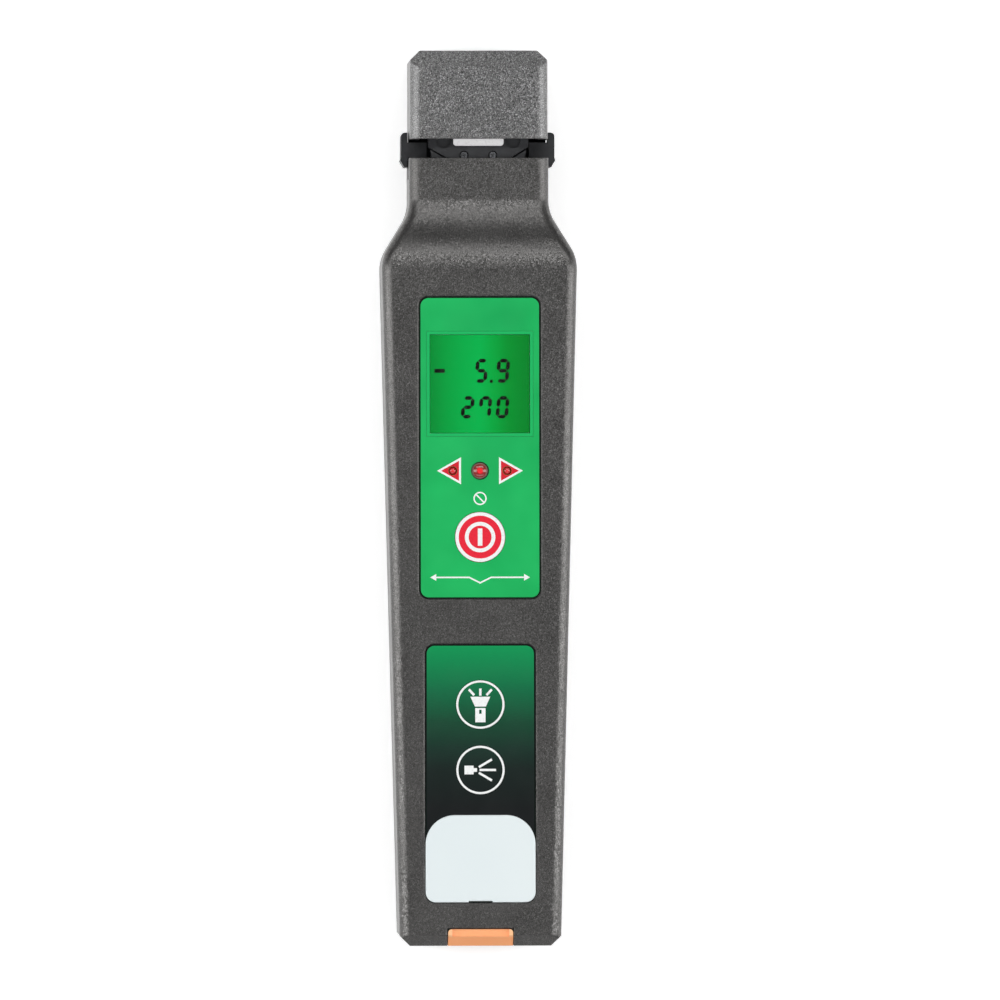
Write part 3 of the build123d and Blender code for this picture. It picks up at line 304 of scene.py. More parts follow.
# Lit display glass: brightest down its middle, as the backlight shows through
def lit_glass(name):
    material, tree, shader = start_material(name)
    coords, x, _, z = object_place(tree)
    across = along(tree, x, -LENS_HALF_WIDTH, LENS_HALF_WIDTH)
    light = ramp(tree, across, [
        (0.03, tone(0, 138, 50)), (0.16, tone(0, 156, 60)), (0.34, tone(0, 172, 71)),
        (0.5, tone(0, 180, 76)), (0.63, tone(0, 166, 62)), (0.76, tone(0, 146, 46)), (0.97, tone(0, 128, 38)),
    ])
    fine = clouds(tree, coords, 0.3, 2.0)
    lively = mixed(tree, sums(tree, "MULTIPLY", fine, 0.12), light, tone(0, 90, 30))
    edge = sums(tree, "GREATER_THAN", z, (GLASS_TOP - 1.0) * MM)
    feed(tree, shader.inputs["Base Color"], mixed(tree, edge, grey(196), tone(0, 30, 12)))
    tree.links.new(lively, shader.inputs["Emission Color"])
    tree.links.new(sums(tree, "MULTIPLY", edge, 1.04), shader.inputs["Emission Strength"])
    shader.inputs["Roughness"].default_value = 0.16
    shader.inputs["Specular IOR Level"].default_value = 0.2
    return material


# Clear acrylic window with a printed green border on its rim
def window_acrylic(name, colour):
    material, tree, shader = start_material(name)
    _, x, y, _ = object_place(tree)
    off_x = sums(tree, "GREATER_THAN", sums(tree, "ABSOLUTE", x), (LENS_HALF_WIDTH - LENS_RIM) * MM)
    off_y = sums(tree, "GREATER_THAN", sums(tree, "ABSOLUTE", sums(tree, "SUBTRACT", y, DISPLAY_Y * MM)),
                 (LENS_HALF_HEIGHT - LENS_RIM) * MM)
    rim = sums(tree, "MAXIMUM", off_x, off_y)
    tree.links.new(mixed(tree, rim, (1, 1, 1, 1), colour), shader.inputs["Base Color"])
    tree.links.new(sums(tree, "SUBTRACT", 1.0, rim), shader.inputs["Transmission Weight"])
    shader.inputs["Roughness"].default_value = 0.06
    shader.inputs["IOR"].default_value = 1.3
    return material


# Clear red epoxy of a lamp, deepest at its rim, with a painted glow over it, brightest at its middle
def lamp_epoxy(name, rim, deep, painted_glow_middle, centre_x, centre_y, radius):
    material, tree, shader = start_material(name)
    coords, x, y, _ = object_place(tree)
    out_x = sums(tree, "SUBTRACT", x, centre_x * MM)
    out_y = sums(tree, "SUBTRACT", y, centre_y * MM)
    out = sums(tree, "SQRT", sums(
        tree, "ADD", sums(tree, "MULTIPLY", out_x, out_x), sums(tree, "MULTIPLY", out_y, out_y)))
    share = sums(tree, "DIVIDE", out, radius * MM)
    cloud = clouds(tree, coords, 0.5, 2.0)
    shaken = sums(tree, "ADD", share, sums(tree, "MULTIPLY", sums(tree, "SUBTRACT", cloud, 0.5), 0.25))
    colour = ramp(tree, shaken, [(0.28, painted_glow_middle), (0.46, deep), (0.78, deep), (0.92, rim)])
    tree.links.new(colour, shader.inputs["Base Color"])
    # Painted glow: the epoxy shines with its own colours, to lift the lamp out of its hole's shade
    tree.links.new(colour, shader.inputs["Emission Color"])
    shader.inputs["Emission Strength"].default_value = 0.35
    shader.inputs["Roughness"].default_value = 0.16
    shader.inputs["Coat Weight"].default_value = 0.4
    grain(tree, shader, coords, 0.4, 0.12, 0.02)
    return material


# Turned or drawn metal with fine lines round or along it
def bright_metal(name, colour, roughness, stretch):
    material, tree, shader = start_material(name)
    coords = object_place(tree)[0]
    lines = clouds(tree, stretched(tree, coords, stretch), 0.9, 4.0)
    deeper = tuple(c * 0.72 for c in colour[:3]) + (1.0,)
    tree.links.new(ramp(tree, lines, [(0.35, deeper), (0.65, colour)]), shader.inputs["Base Color"])
    bump = put(tree, "ShaderNodeBump", Strength=0.2, Distance=0.02 * MM, Height=lines)
    tree.links.new(bump.outputs[0], shader.inputs["Normal"])
    shader.inputs["Metallic"].default_value = 1.0
    shader.inputs["Roughness"].default_value = roughness
    return material


# Soft orange rubber of the port's cover, paler in patches towards its outermost face
def cover_rubber(name, colour, outer_pale):
    material, tree, shader = start_material(name)
    coords, _, _, z = object_place(tree)
    patches = clouds(tree, coords, 5, 4.0)
    pale_from, pale_to = 30.35, 30.95
    rise = along(tree, z, pale_from, pale_to)
    share = sums(tree, "MULTIPLY", sums(tree, "ADD", patches, 0.45), rise)
    tree.links.new(mixed(tree, share, colour, outer_pale), shader.inputs["Base Color"])
    grain(tree, shader, coords, 0.25, 0.3, 0.03)
    rough_range(tree, shader, coords, 2.0, 0.45, 0.6)
    shader.inputs["Subsurface Weight"].default_value = 0.15
    shader.inputs["Subsurface Radius"].default_value = (0.001, 0.0005, 0.0003)
    return material


# Pearl-white plate with faint clouds of a cool tint
def pearl_plate(name):
    material, tree, shader = start_material(name)
    coords = object_place(tree)[0]
    cloud = clouds(tree, coords, 24, 1.0)
    tree.links.new(
        ramp(tree, cloud, [(0.1, tone(225, 235, 237)), (0.9, tone(231, 239, 240))]), shader.inputs["Base Color"])
    grain(tree, shader, coords, 0.3, 0.1, 0.01)
    rough_range(tree, shader, coords, 12.0, 0.235, 0.26)
    return material


# Green board with the paler shapes of its copper under the lacquer
def circuit_board(name):
    material, tree, shader = start_material(name)
    coords = object_place(tree)[0]
    cells = put(
        tree, "ShaderNodeTexVoronoi", {"distance": "CHEBYCHEV"}, Vector=coords, Scale=1.0 / (2.2 * MM))
    tracks = sums(tree, "GREATER_THAN", cells.outputs["Distance"], 0.42)
    tree.links.new(mixed(tree, tracks, tone(16, 74, 44), tone(34, 108, 62)), shader.inputs["Base Color"])
    bump = put(tree, "ShaderNodeBump", Strength=0.3, Distance=0.03 * MM, Height=tracks)
    tree.links.new(bump.outputs[0], shader.inputs["Normal"])
    rough_range(tree, shader, coords, 3.0, 0.28, 0.4)
    return material


# Printed sleeve of a cell: a dark wrap and a copper-coloured end
def cell_wrap(name, band_y):
    material, tree, shader = start_material(name)
    coords, _, y, _ = object_place(tree)
    end = sums(tree, "GREATER_THAN", y, band_y * MM)
    tree.links.new(mixed(tree, end, tone(34, 36, 40), tone(176, 118, 72)), shader.inputs["Base Color"])
    grain(tree, shader, coords, 0.6, 0.1, 0.02)
    rough_range(tree, shader, coords, 4.0, 0.22, 0.34)
    shader.inputs["Metallic"].default_value = 0.3
    return material


lamp_y = middle("led_centre")[1]
key_low, key_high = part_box("key_overlay")
cell_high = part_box("battery_left")[1]
CELL_END = 9.0

paint = case_paint("case_paint", tone(74, 73, 72), tone(94, 93, 92), tone(122, 121, 120))
# The head cap's paint is the case's grey made paler with brighter flakes: a painted highlight for the light its
# front face catches
lit_cap_paint = case_paint("lit_cap_paint", tone(84, 84, 84), tone(122, 122, 122), tone(180, 180, 180))
door_plastic = moulded_black("battery_door_plastic", tone(58, 57, 56), 0.5, 0.62)
display_green = printed_film("display_green", "display_overlay", tone(27, 176, 92))
key_green = fading_film("key_green", "key_overlay", key_low.y / MM, key_high.y / MM)
white_ink = print_ink("white_ink", tone(242, 244, 243))
red_ink = print_ink("red_ink", tone(212, 38, 52))
segment_ink = print_ink("segment_ink", tone(6, 18, 10))
power_red = print_ink("power_red", tone(232, 40, 60))
display_glass = lit_glass("display_glass")
window_clear = window_acrylic("window_clear", tone(36, 180, 98))
plate_white = pearl_plate("plate_white")
gate_black = moulded_black("gate_black", tone(30, 31, 34), 0.38, 0.52)
window_white = print_ink("window_white", tone(255, 254, 255))
lamp_board = print_ink("lamp_board", tone(222, 214, 170))
sensor_can = bright_metal("sensor_can", tone(206, 186, 130), 0.28, (1, 1, 6))
screw_steel = bright_metal("screw_steel", tone(168, 170, 174), 0.24, (1, 1, 1))
rod_steel = bright_metal("rod_steel", tone(198, 200, 203), 0.2, (8, 1, 8))
spring_steel = bright_metal("spring_steel", tone(170, 172, 176), 0.28, (1, 1, 1))
sleeve_metal = bright_metal("sleeve_metal", tone(206, 204, 198), 0.22, (1, 8, 1))
laser_metal = bright_metal("laser_metal", tone(190, 164, 104), 0.3, (1, 8, 1))
contact_metal = bright_metal("contact_metal", tone(208, 208, 206), 0.25, (6, 1, 1))
cover_orange = cover_rubber("cover_orange", tone(255, 172, 116), tone(255, 196, 146))
board_green = circuit_board("board_green")
switch_plastic = moulded_black("switch_plastic", tone(52, 52, 54), 0.4, 0.5)
cell_sleeve = cell_wrap("cell_sleeve", cell_high.y / MM - CELL_END)

finishes = {
    "front_shell": paint, "rear_shell": paint, "head_cap": lit_cap_paint, "battery_door": door_plastic,
    "display_overlay": display_green, "key_overlay": key_green, "lcd_module": display_glass,
    "display_lens": window_clear, "power_key": power_red, "torch_key": key_green, "locator_key": key_green,
    "main_board": board_green, "board_screws": screw_steel, "buzzer": switch_plastic,
    "power_switch": switch_plastic, "torch_switch": switch_plastic, "locator_switch": switch_plastic,
    "anvil_block": gate_black, "anvil_plate": gate_black, "gate_window": window_white,
    "gate_lamp": lamp_board, "v_jaw": gate_black, "carriage": gate_black, "detector_left": sensor_can,
    "detector_right": sensor_can, "guide_rods": rod_steel, "port_sleeve": sleeve_metal,
    "laser_module": laser_metal, "port_cover": cover_orange, "cover_pin": rod_steel,
    "battery_left": cell_sleeve, "battery_right": cell_sleeve, "battery_contacts": contact_metal,
    "battery_bridge": contact_metal,
}
for name, material in finishes.items():
    piece = nodes[name]
    piece.data.materials.clear()
    piece.data.materials.append(material)


# Mesh helpers

def new_object(name, points, faces, material, smooth=False):
    mesh = bpy.data.meshes.new(name)
    mesh.from_pydata([Vector(p) * MM for p in points], [], faces)
    mesh.materials.append(material)
    mesh.validate()
    mesh.update()
    if smooth:
        mesh.polygons.foreach_set("use_smooth", [True] * len(mesh.polygons))
    made = bpy.data.objects.new(name, mesh)
    bpy.context.collection.objects.link(made)
    return made


# Flat shapes, drawn anticlockwise in X and Y, raised from z by height into one closed piece
def raised(name, shapes, z, height, material, body):
    places, corners, flat = {}, [], []
    for shape in shapes:
        ring = []
        for x, y in shape:
            key = (round(x, 5), round(y, 5))
            if key not in places:
                places[key] = len(corners)
                corners.append((x, y))
            ring.append(places[key])
        flat.append(ring)
    count = len(corners)
    points = [(x, y, z + height) for x, y in corners] + [(x, y, z) for x, y in corners]
    faces = [tuple(ring) for ring in flat]
    faces += [tuple(index + count for index in reversed(ring)) for ring in flat]
    edges = {}
    for ring in flat:
        for start, end in zip(ring, ring[1:] + ring[:1]):
            edges[(start, end)] = True
    for start, end in edges:
        if (end, start) not in edges:
            faces.append((end, start, start + count, end + count))
    made = new_object(name, points, faces, material)
    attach(made, body)
    return made


# A closed piece turned round an upright axis, from its outline of (radius, z)
def turned_piece(name, outline, centre_x, centre_y, steps, material):
    points, faces = [], []
    for radius, z in outline:
        for step in range(steps):
            angle = 2 * math.pi * step / steps
            points.append((centre_x + radius * math.cos(angle), centre_y + radius * math.sin(angle), z))
    for row in range(len(outline) - 1):
        for step in range(steps):
            after = (step + 1) % steps
            low, high = row * steps, (row + 1) * steps
            faces.append((low + step, low + after, high + after, high + step))
    faces.append(tuple(reversed(range(steps))))
    faces.append(tuple(range((len(outline) - 1) * steps, len(outline) * steps)))
    return new_object(name, points, faces, material, smooth=True)


def shifted(shape, x, y):
    return [(px + x, py + y) for px, py in shape]


def rectangle(left, bottom, right, top):
    return [(left, bottom), (right, bottom), (right, top), (left, top)]


def ring_shapes(inner, outer, steps=72):
    shapes = []
    for step in range(steps):
        first, last = 2 * math.pi * step / steps, 2 * math.pi * (step + 1) / steps
        shapes.append([
            (inner * math.cos(first), inner * math.sin(first)),
            (outer * math.cos(first), outer * math.sin(first)),
            (outer * math.cos(last), outer * math.sin(last)),
            (inner * math.cos(last), inner * math.sin(last)),
        ])
    return shapes


# A printed stroke of even width through a few points
def stroke(points, width):
    shapes, offsets = [], []
    for index, (x, y) in enumerate(points):
        before = points[max(index - 1, 0)]
        after = points[min(index + 1, len(points) - 1)]
        first = Vector((x - before[0], y - before[1]))
        last = Vector((after[0] - x, after[1] - y))
        first = first.normalized() if first.length else last.normalized()
        last = last.normalized() if last.length else first
        half = (first + last).normalized()
        reach = width / 2 / max(half.dot(first), 0.3)
        offsets.append((-half.y * reach, half.x * reach))
    for index in range(len(points) - 1):
        (ax, ay), (bx, by) = points[index], points[index + 1]
        (au, av), (bu, bv) = offsets[index], offsets[index + 1]
        shapes.append([(ax - au, ay - av), (bx - bu, by - bv), (bx + bu, by + bv), (ax + au, ay + av)])
    return shapes


# Figures of the display

SEGMENTS = {
    "0": "abcdef", "1": "bc", "2": "abged", "3": "abgcd", "4": "fgbc", "5": "afgcd",
    "6": "afgedc", "7": "abcf", "8": "abcdefg", "9": "abcdfg",
}


# One seven-segment figure with bevelled ends, leaning to the right
def figure(value, left, bottom, width, height, thick, lean):
    half, gap = thick / 2, 0.07
    middle_y = height / 2

    def level(y):
        return [(half + gap, y), (thick + gap, y - half), (width - thick - gap, y - half),
                (width - half - gap, y), (width - thick - gap, y + half), (thick + gap, y + half)]

    def upright(x, low, high):
        return [(x, low + gap), (x + half, low + half + gap), (x + half, high - half - gap),
                (x, high - gap), (x - half, high - half - gap), (x - half, low + half + gap)]

    bars = {
        "a": level(height - half), "g": level(middle_y), "d": level(half),
        "f": upright(half, middle_y, height - half), "b": upright(width - half, middle_y, height - half),
        "e": upright(half, half, middle_y), "c": upright(width - half, half, middle_y),
    }
    return [[(left + x + lean * y, bottom + y) for x, y in bars[name]] for name in SEGMENTS[value]]


# What the display shows, from the middle of its window: each figure's value, left, bottom, width
# and height, and the sides of the minus sign and the point
UPPER_ROW = [("5", -1.25, 0.22, 2.75, 5.25), ("9", 3.4, 0.22, 2.85, 5.25)]
LOWER_ROW = [("2", -4.25, -7.57, 2.75, 4.88), ("7", -0.42, -7.57, 2.75, 4.88), ("0", 3.38, -7.57, 2.75, 4.88)]
MINUS_SIGN, POINT = (-9.92, 2.41, -7.65, 3.28), (2.2, 0.22, 2.85, 0.87)


def display_figures():
    thick, lean = 0.82, 0.09
    shapes = [rectangle(*MINUS_SIGN)]
    for place in UPPER_ROW:
        shapes += figure(*place, thick, lean)
    shapes.append(rectangle(*POINT))
    for place in LOWER_ROW:
        shapes += figure(*place, thick, lean)
    shapes = [shifted(shape, 0, DISPLAY_Y) for shape in shapes]
    raised("display_figures", shapes, GLASS_TOP + 0.01, PRINT, segment_ink, "housing")


display_figures()


# Lamps and their arrows

# A triangle filled round a hole, in strips from the hole to its sides
def triangle_round_hole(corners, hole_x, hole_y, radius, steps=60):
    angles = [2 * math.pi * step / steps for step in range(steps)]
    angles += [math.atan2(y - hole_y, x - hole_x) % (2 * math.pi) for x, y in corners]
    angles = sorted(set(round(angle, 6) for angle in angles))
    pairs = list(zip(corners, corners[1:] + corners[:1]))

    def out_to_side(angle):
        dx, dy = math.cos(angle), math.sin(angle)
        best = None
        for (ax, ay), (bx, by) in pairs:
            ex, ey = bx - ax, by - ay
            cross = dx * ey - dy * ex
            if abs(cross) < 1e-9:
                continue
            far = ((ax - hole_x) * ey - (ay - hole_y) * ex) / cross
            side = ((ax - hole_x) * dy - (ay - hole_y) * dx) / cross
            if far > 0 and -1e-6 <= side <= 1 + 1e-6 and (best is None or far < best):
                best = far
        return hole_x + dx * best, hole_y + dy * best

    shapes = []
    for first, last in zip(angles, angles[1:] + angles[:1]):
        shapes.append([
            (hole_x + radius * math.cos(first), hole_y + radius * math.sin(first)), out_to_side(first),
            out_to_side(last), (hole_x + radius * math.cos(last), hole_y + radius * math.sin(last)),
        ])
    return shapes


def arrow_prints():
    base, tip, half, line, hole = 4.15, 9.4, 2.95, 0.44, 0.97
    slope = half / (tip - base)
    inner_tip = tip - line * math.sqrt(1 + slope * slope) / slope
    inner_base = base + line
    inner_half = (inner_tip - inner_base) * slope
    outlines, fills = [], []
    for side in (-1, 1):
        hole_x, hole_y = middle("led_left" if side < 0 else "led_right")
        outer = [(side * tip, lamp_y), (side * base, lamp_y + side * half),
                 (side * base, lamp_y - side * half)]
        inner = [(side * inner_tip, lamp_y), (side * inner_base, lamp_y + side * inner_half),
                 (side * inner_base, lamp_y - side * inner_half)]
        for index in range(3):
            after = (index + 1) % 3
            outlines.append([outer[index], outer[after], inner[after], inner[index]])
        fills += triangle_round_hole(inner, hole_x, hole_y, hole)
    raised("arrow_outlines", outlines, FILM_TOP, PRINT, white_ink, "housing")
    raised("arrow_fills", fills, FILM_TOP, PRINT, red_ink, "housing")


arrow_prints()


# Each lamp: a flange on the board, a straight body and a domed tip
def lamp_piece(node, name, radius, dome_height, rim, deep, painted_glow_middle):
    low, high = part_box(node)
    x, y = middle(node)
    foot, tip = low.z / MM, high.z / MM
    flange = (high.x - low.x) / 2 / MM
    outline = [(flange, foot), (flange, foot + 0.9), (radius, foot + 1.0)]
    # The rows stop short of the pole, so that the last one is a small flat ring
    dome_rows, rows_to_pole = 11, 10.4
    for step in range(dome_rows):
        angle = math.pi / 2 * step / rows_to_pole
        outline.append((radius * math.cos(angle), tip - dome_height + dome_height * math.sin(angle)))
    epoxy = lamp_epoxy(name + "_epoxy", rim, deep, painted_glow_middle, x, y, radius)
    made = turned_piece(name, outline, x, y, 40, epoxy)
    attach(made, "housing")
    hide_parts(node)


# The last colour of each lamp is the paler red of its painted glow at the middle
for side in ("left", "right"):
    lamp_piece("led_" + side, "lamp_" + side, radius=0.85, dome_height=0.5,
               rim=tone(116, 8, 18), deep=tone(160, 18, 30), painted_glow_middle=tone(206, 44, 54))
lamp_piece("led_centre", "lamp_centre", radius=1.78, dome_height=0.75,
           rim=tone(128, 112, 104), deep=tone(122, 34, 32), painted_glow_middle=tone(220, 38, 46))


# Prints on the keys

def key_print(name, key, shapes, material):
    x, y = middle(key)
    raised(name, [shifted(shape, x, y) for shape in shapes], top_of(key), PRINT, material, key)


# Inner and outer radius of the rings, and the sides of the power key's bar
OUTER_RING, INNER_RING, SMALL_KEY_RING = (4.68, 5.43), (2.5, 3.33), (4.83, 5.28)
POWER_BAR = (-0.5, -1.88, 0.5, 1.88)

key_print("power_rings", "power_key",
          ring_shapes(*OUTER_RING) + ring_shapes(*INNER_RING) + [rectangle(*POWER_BAR)],
          white_ink)


# A torch: the flared head, the handle with its switch, and three rays
def torch_shapes():
    head = [(-1.18, -0.44), (1.18, -0.44), (2.18, 1.71), (-2.18, 1.71)]
    handle = [
        rectangle(-1.12, -3.87, -0.27, -0.77), rectangle(0.27, -3.87, 1.12, -0.77),
        rectangle(-0.27, -3.87, 0.27, -2.01), rectangle(-0.27, -1.14, 0.27, -0.77),
    ]
    width = 0.52
    rays = stroke([(0, 1.95), (0, 3.5)], width)
    rays += stroke([(-1.35, 2.05), (-2.5, 3.3)], width) + stroke([(1.35, 2.05), (2.5, 3.3)], width)
    return [head] + handle + rays


# A light source: the ferrule, its tip and a fan of rays
def beam_shapes():
    body = [rectangle(-3.5, -0.95, -1.5, 0.95), rectangle(-1.5, -0.42, -0.75, 0.42)]
    width = 0.5
    rays = stroke([(-0.2, 0), (3.4, 0)], width)
    rays += stroke([(-0.35, 0.62), (2.5, 2.3)], width) + stroke([(-0.35, -0.62), (2.5, -2.3)], width)
    return body + rays


for name, key, sign in (("torch_print", "torch_key", torch_shapes()),
                        ("locator_print", "locator_key", beam_shapes())):
    key_print(name, key, ring_shapes(*SMALL_KEY_RING) + sign, white_ink)


# Generic marks on the display film: a struck-out ring, and a fibre that dips through a gate
def film_marks():
    ring_drop, ring_inner, ring_outer, bar_width = 6.05, 1.15, 1.45, 0.3
    fibre_drop, fibre_width = 9.1, 0.32
    ring_y = lamp_y - ring_drop
    shapes = [shifted(shape, 0, ring_y) for shape in ring_shapes(ring_inner, ring_outer, 40)]
    shapes += [shifted(shape, 0, ring_y) for shape in stroke([(-0.82, 0.82), (0.82, -0.82)], bar_width)]
    fibre_y = middle("power_key")[1] - fibre_drop
    fibre = stroke([(-9.6, 0.3), (-2.4, 0.3), (0, -0.9), (2.4, 0.3), (9.6, 0.3)], fibre_width)
    shapes += [shifted(shape, 0, fibre_y) for shape in fibre]
    shapes.append(shifted([(-10.9, 0.3), (-9.6, -0.45), (-9.6, 1.05)], 0, fibre_y))
    shapes.append(shifted([(10.9, 0.3), (9.6, 1.05), (9.6, -0.45)], 0, fibre_y))
    raised("film_marks", shapes, FILM_TOP, PRINT, white_ink, "housing")


film_marks()


# Blank name plate, its top edge eased all round

def arc_points(centre_x, centre_y, radius, start, end, steps):
    return [(centre_x + radius * math.cos(math.radians(start + (end - start) * step / steps)),
             centre_y + radius * math.sin(math.radians(start + (end - start) * step / steps)))
            for step in range(steps + 1)]


def plate_outline(inset):
    low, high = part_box("name_plate")
    left, right = low.x / MM + inset, high.x / MM - inset
    bottom, top = low.y / MM + inset, high.y / MM - inset
    shoulder, corner, notch, notch_depth = 6.4 - inset, 2.2 - inset, 2.6 + inset, 0.28
    points = [(notch, bottom + notch_depth), (notch, bottom)]
    points += arc_points(right - corner, bottom + corner, corner, -90, 0, 10)
    points += arc_points(right - shoulder, top - shoulder, shoulder, 0, 90, 20)
    points += arc_points(left + shoulder, top - shoulder, shoulder, 90, 180, 20)
    points += arc_points(left + corner, bottom + corner, corner, 180, 270, 10)
    points += [(-notch, bottom), (-notch, bottom + notch_depth)]
    return points


def name_plate():
    low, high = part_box("name_plate")
    foot, top = low.z / MM, high.z / MM
    # Each row of the eased edge: how far in from the outline, and how high
    rows = [(0.0, foot), (0.0, foot + 0.15), (0.05, foot + 0.26), (0.14, foot + 0.33), (0.26, top)]
    points, faces = [], []
    for inset, z in rows:
        points += [(x, y, z) for x, y in plate_outline(inset)]
    count = len(points) // len(rows)
    for row in range(len(rows) - 1):
        for index in range(count):
            after = (index + 1) % count
            low_row, high_row = row * count, (row + 1) * count
            faces.append((low_row + index, low_row + after, high_row + after, high_row + index))
    faces.append(tuple(reversed(range(count))))
    faces.append(tuple(range((len(rows) - 1) * count, len(rows) * count)))
    made = new_object("plate_blank", points, faces, plate_white)
    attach(made, "housing")
    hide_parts("name_plate")


name_plate()


# Geometry Nodes: screws and springs

# Adds a named size to a node tree's group inputs
def tree_input(tree, name, kind, value=None):
    socket = tree.interface.new_socket(name=name, in_out="INPUT", socket_type=kind)
    if value is not None:
        socket.default_value = value
    return socket.identifier


def start_tree(name):
    tree = bpy.data.node_groups.new(name, "GeometryNodeTree")
    tree.interface.new_socket(name="Geometry", in_out="INPUT", socket_type="NodeSocketGeometry")
    tree.interface.new_socket(name="Geometry", in_out="OUTPUT", socket_type="NodeSocketGeometry")
    return tree, tree.nodes.new("NodeGroupInput"), tree.nodes.new("NodeGroupOutput")


# Runs a tree on a plain mesh of points and keeps the result as a plain mesh
def grown(name, points, tree, values, material):
    seed = new_object(name + "_seed", points, [], material)
    modifier = seed.modifiers.new("grow", "NODES")
    modifier.node_group = tree
    for identifier, value in values.items():
        modifier[identifier] = value
    bpy.context.view_layer.update()
    evaluated = seed.evaluated_get(bpy.context.evaluated_depsgraph_get())
    mesh = bpy.data.meshes.new_from_object(evaluated)
    mesh.name = name
    seed.modifiers.remove(modifier)
    bpy.data.objects.remove(seed)
    if not mesh.materials:
        mesh.materials.append(material)
    made = bpy.data.objects.new(name, mesh)
    bpy.context.collection.objects.link(made)
    return made


# A screw with a low domed head, its cross recess cut in, and a plain shank, set at each point.
# The head faces along Z; the shank runs the other way.
def screw_tree(material):
    tree, group_in, group_out = start_tree("cross_recess_screws")
    ids = {
        "radius": tree_input(tree, "Head Radius", "NodeSocketFloat", 0.002),
        "height": tree_input(tree, "Head Height", "NodeSocketFloat", 0.0016),
        "shank": tree_input(tree, "Shank Radius", "NodeSocketFloat", 0.001),
        "reach": tree_input(tree, "Shank Length", "NodeSocketFloat", 0.01),
        "turn": tree_input(tree, "Facing", "NodeSocketVector"),
    }
    links = tree.links

    def made(kind, settings=None):
        node = tree.nodes.new(kind)
        for key, value in (settings or {}).items():
            setattr(node, key, value)
        return node

    def times(socket, factor):
        node = made("ShaderNodeMath", {"operation": "MULTIPLY"})
        links.new(socket, node.inputs[0])
        node.inputs[1].default_value = factor
        return node.outputs[0]

    def moved(geometry, z):
        node = made("GeometryNodeTransform")
        links.new(geometry, node.inputs["Geometry"])
        vector = made("ShaderNodeCombineXYZ")
        links.new(z, vector.inputs["Z"])
        links.new(vector.outputs[0], node.inputs["Translation"])
        return node.outputs[0]

    # Shares of the head's height and radius; the drops overlap a hair where two solids meet
    rim_height, rim_drop, crown_height, crown_drop, crown_top = 0.6, -0.7, 0.4, -0.4001, 0.78
    recess_length, recess_width, recess_depth, shank_drop = 1.15, 0.26, 0.9, -1.001
    radius, height = group_in.outputs["Head Radius"], group_in.outputs["Head Height"]
    shank, reach = group_in.outputs["Shank Radius"], group_in.outputs["Shank Length"]
    rim = made("GeometryNodeMeshCylinder")
    rim.inputs["Vertices"].default_value = 48
    links.new(radius, rim.inputs["Radius"])
    links.new(times(height, rim_height), rim.inputs["Depth"])
    crown = made("GeometryNodeMeshCone")
    crown.inputs["Vertices"].default_value = 48
    links.new(times(radius, crown_top), crown.inputs["Radius Top"])
    links.new(radius, crown.inputs["Radius Bottom"])
    links.new(times(height, crown_height), crown.inputs["Depth"])
    head = made("GeometryNodeMeshBoolean", {"operation": "UNION"})
    links.new(moved(rim.outputs["Mesh"], times(height, rim_drop)), head.inputs["Mesh 2"])
    links.new(moved(crown.outputs["Mesh"], times(height, crown_drop)), head.inputs["Mesh 2"])
    cut = made("GeometryNodeMeshBoolean", {"operation": "DIFFERENCE"})
    for across, down in ((recess_length, recess_width), (recess_width, recess_length)):
        slot_box = made("GeometryNodeMeshCube")
        sizes = made("ShaderNodeCombineXYZ")
        links.new(times(radius, across), sizes.inputs["X"])
        links.new(times(radius, down), sizes.inputs["Y"])
        links.new(times(height, recess_depth), sizes.inputs["Z"])
        links.new(sizes.outputs[0], slot_box.inputs["Size"])
        links.new(slot_box.outputs["Mesh"], cut.inputs["Mesh 2"])
    links.new(head.outputs[0], cut.inputs["Mesh 1"])
    body = made("GeometryNodeMeshCylinder")
    body.inputs["Vertices"].default_value = 24
    links.new(shank, body.inputs["Radius"])
    links.new(reach, body.inputs["Depth"])
    below = made("ShaderNodeMath", {"operation": "ADD"})
    links.new(times(reach, -0.5), below.inputs[0])
    links.new(times(height, shank_drop), below.inputs[1])
    whole = made("GeometryNodeJoinGeometry")
    links.new(moved(body.outputs["Mesh"], below.outputs[0]), whole.inputs[0])
    links.new(cut.outputs[0], whole.inputs[0])
    facing = made("GeometryNodeTransform")
    links.new(whole.outputs[0], facing.inputs["Geometry"])
    links.new(group_in.outputs["Facing"], facing.inputs["Rotation"])
    placed = made("GeometryNodeInstanceOnPoints")
    links.new(group_in.outputs["Geometry"], placed.inputs["Points"])
    links.new(facing.outputs[0], placed.inputs["Instance"])
    spin = made("FunctionNodeRandomValue", {"data_type": "FLOAT_VECTOR"})
    spin.inputs["Min"].default_value = (0, 0, 0)
    spin.inputs["Max"].default_value = (0, 0, 1.5)
    spin.inputs["Seed"].default_value = 7
    links.new(spin.outputs[0], placed.inputs["Rotation"])
    real = made("GeometryNodeRealizeInstances")
    links.new(placed.outputs[0], real.inputs[0])
    finish = made("GeometryNodeSetMaterial")
    finish.inputs["Material"].default_value = material
    links.new(real.outputs[0], finish.inputs["Geometry"])
    links.new(finish.outputs[0], group_out.inputs[0])
    return tree, ids


screws, screw_ids = screw_tree(screw_steel)


def screw_set(name, points, head_radius, head_height, shank_radius, reach, turn, replaced):
    made = grown(name, points, screws, {
        screw_ids["radius"]: head_radius * MM, screw_ids["height"]: head_height * MM,
        screw_ids["shank"]: shank_radius * MM, screw_ids["reach"]: reach * MM,
        screw_ids["turn"]: turn,
    }, screw_steel)
    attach(made, "housing")
    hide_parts(replaced)


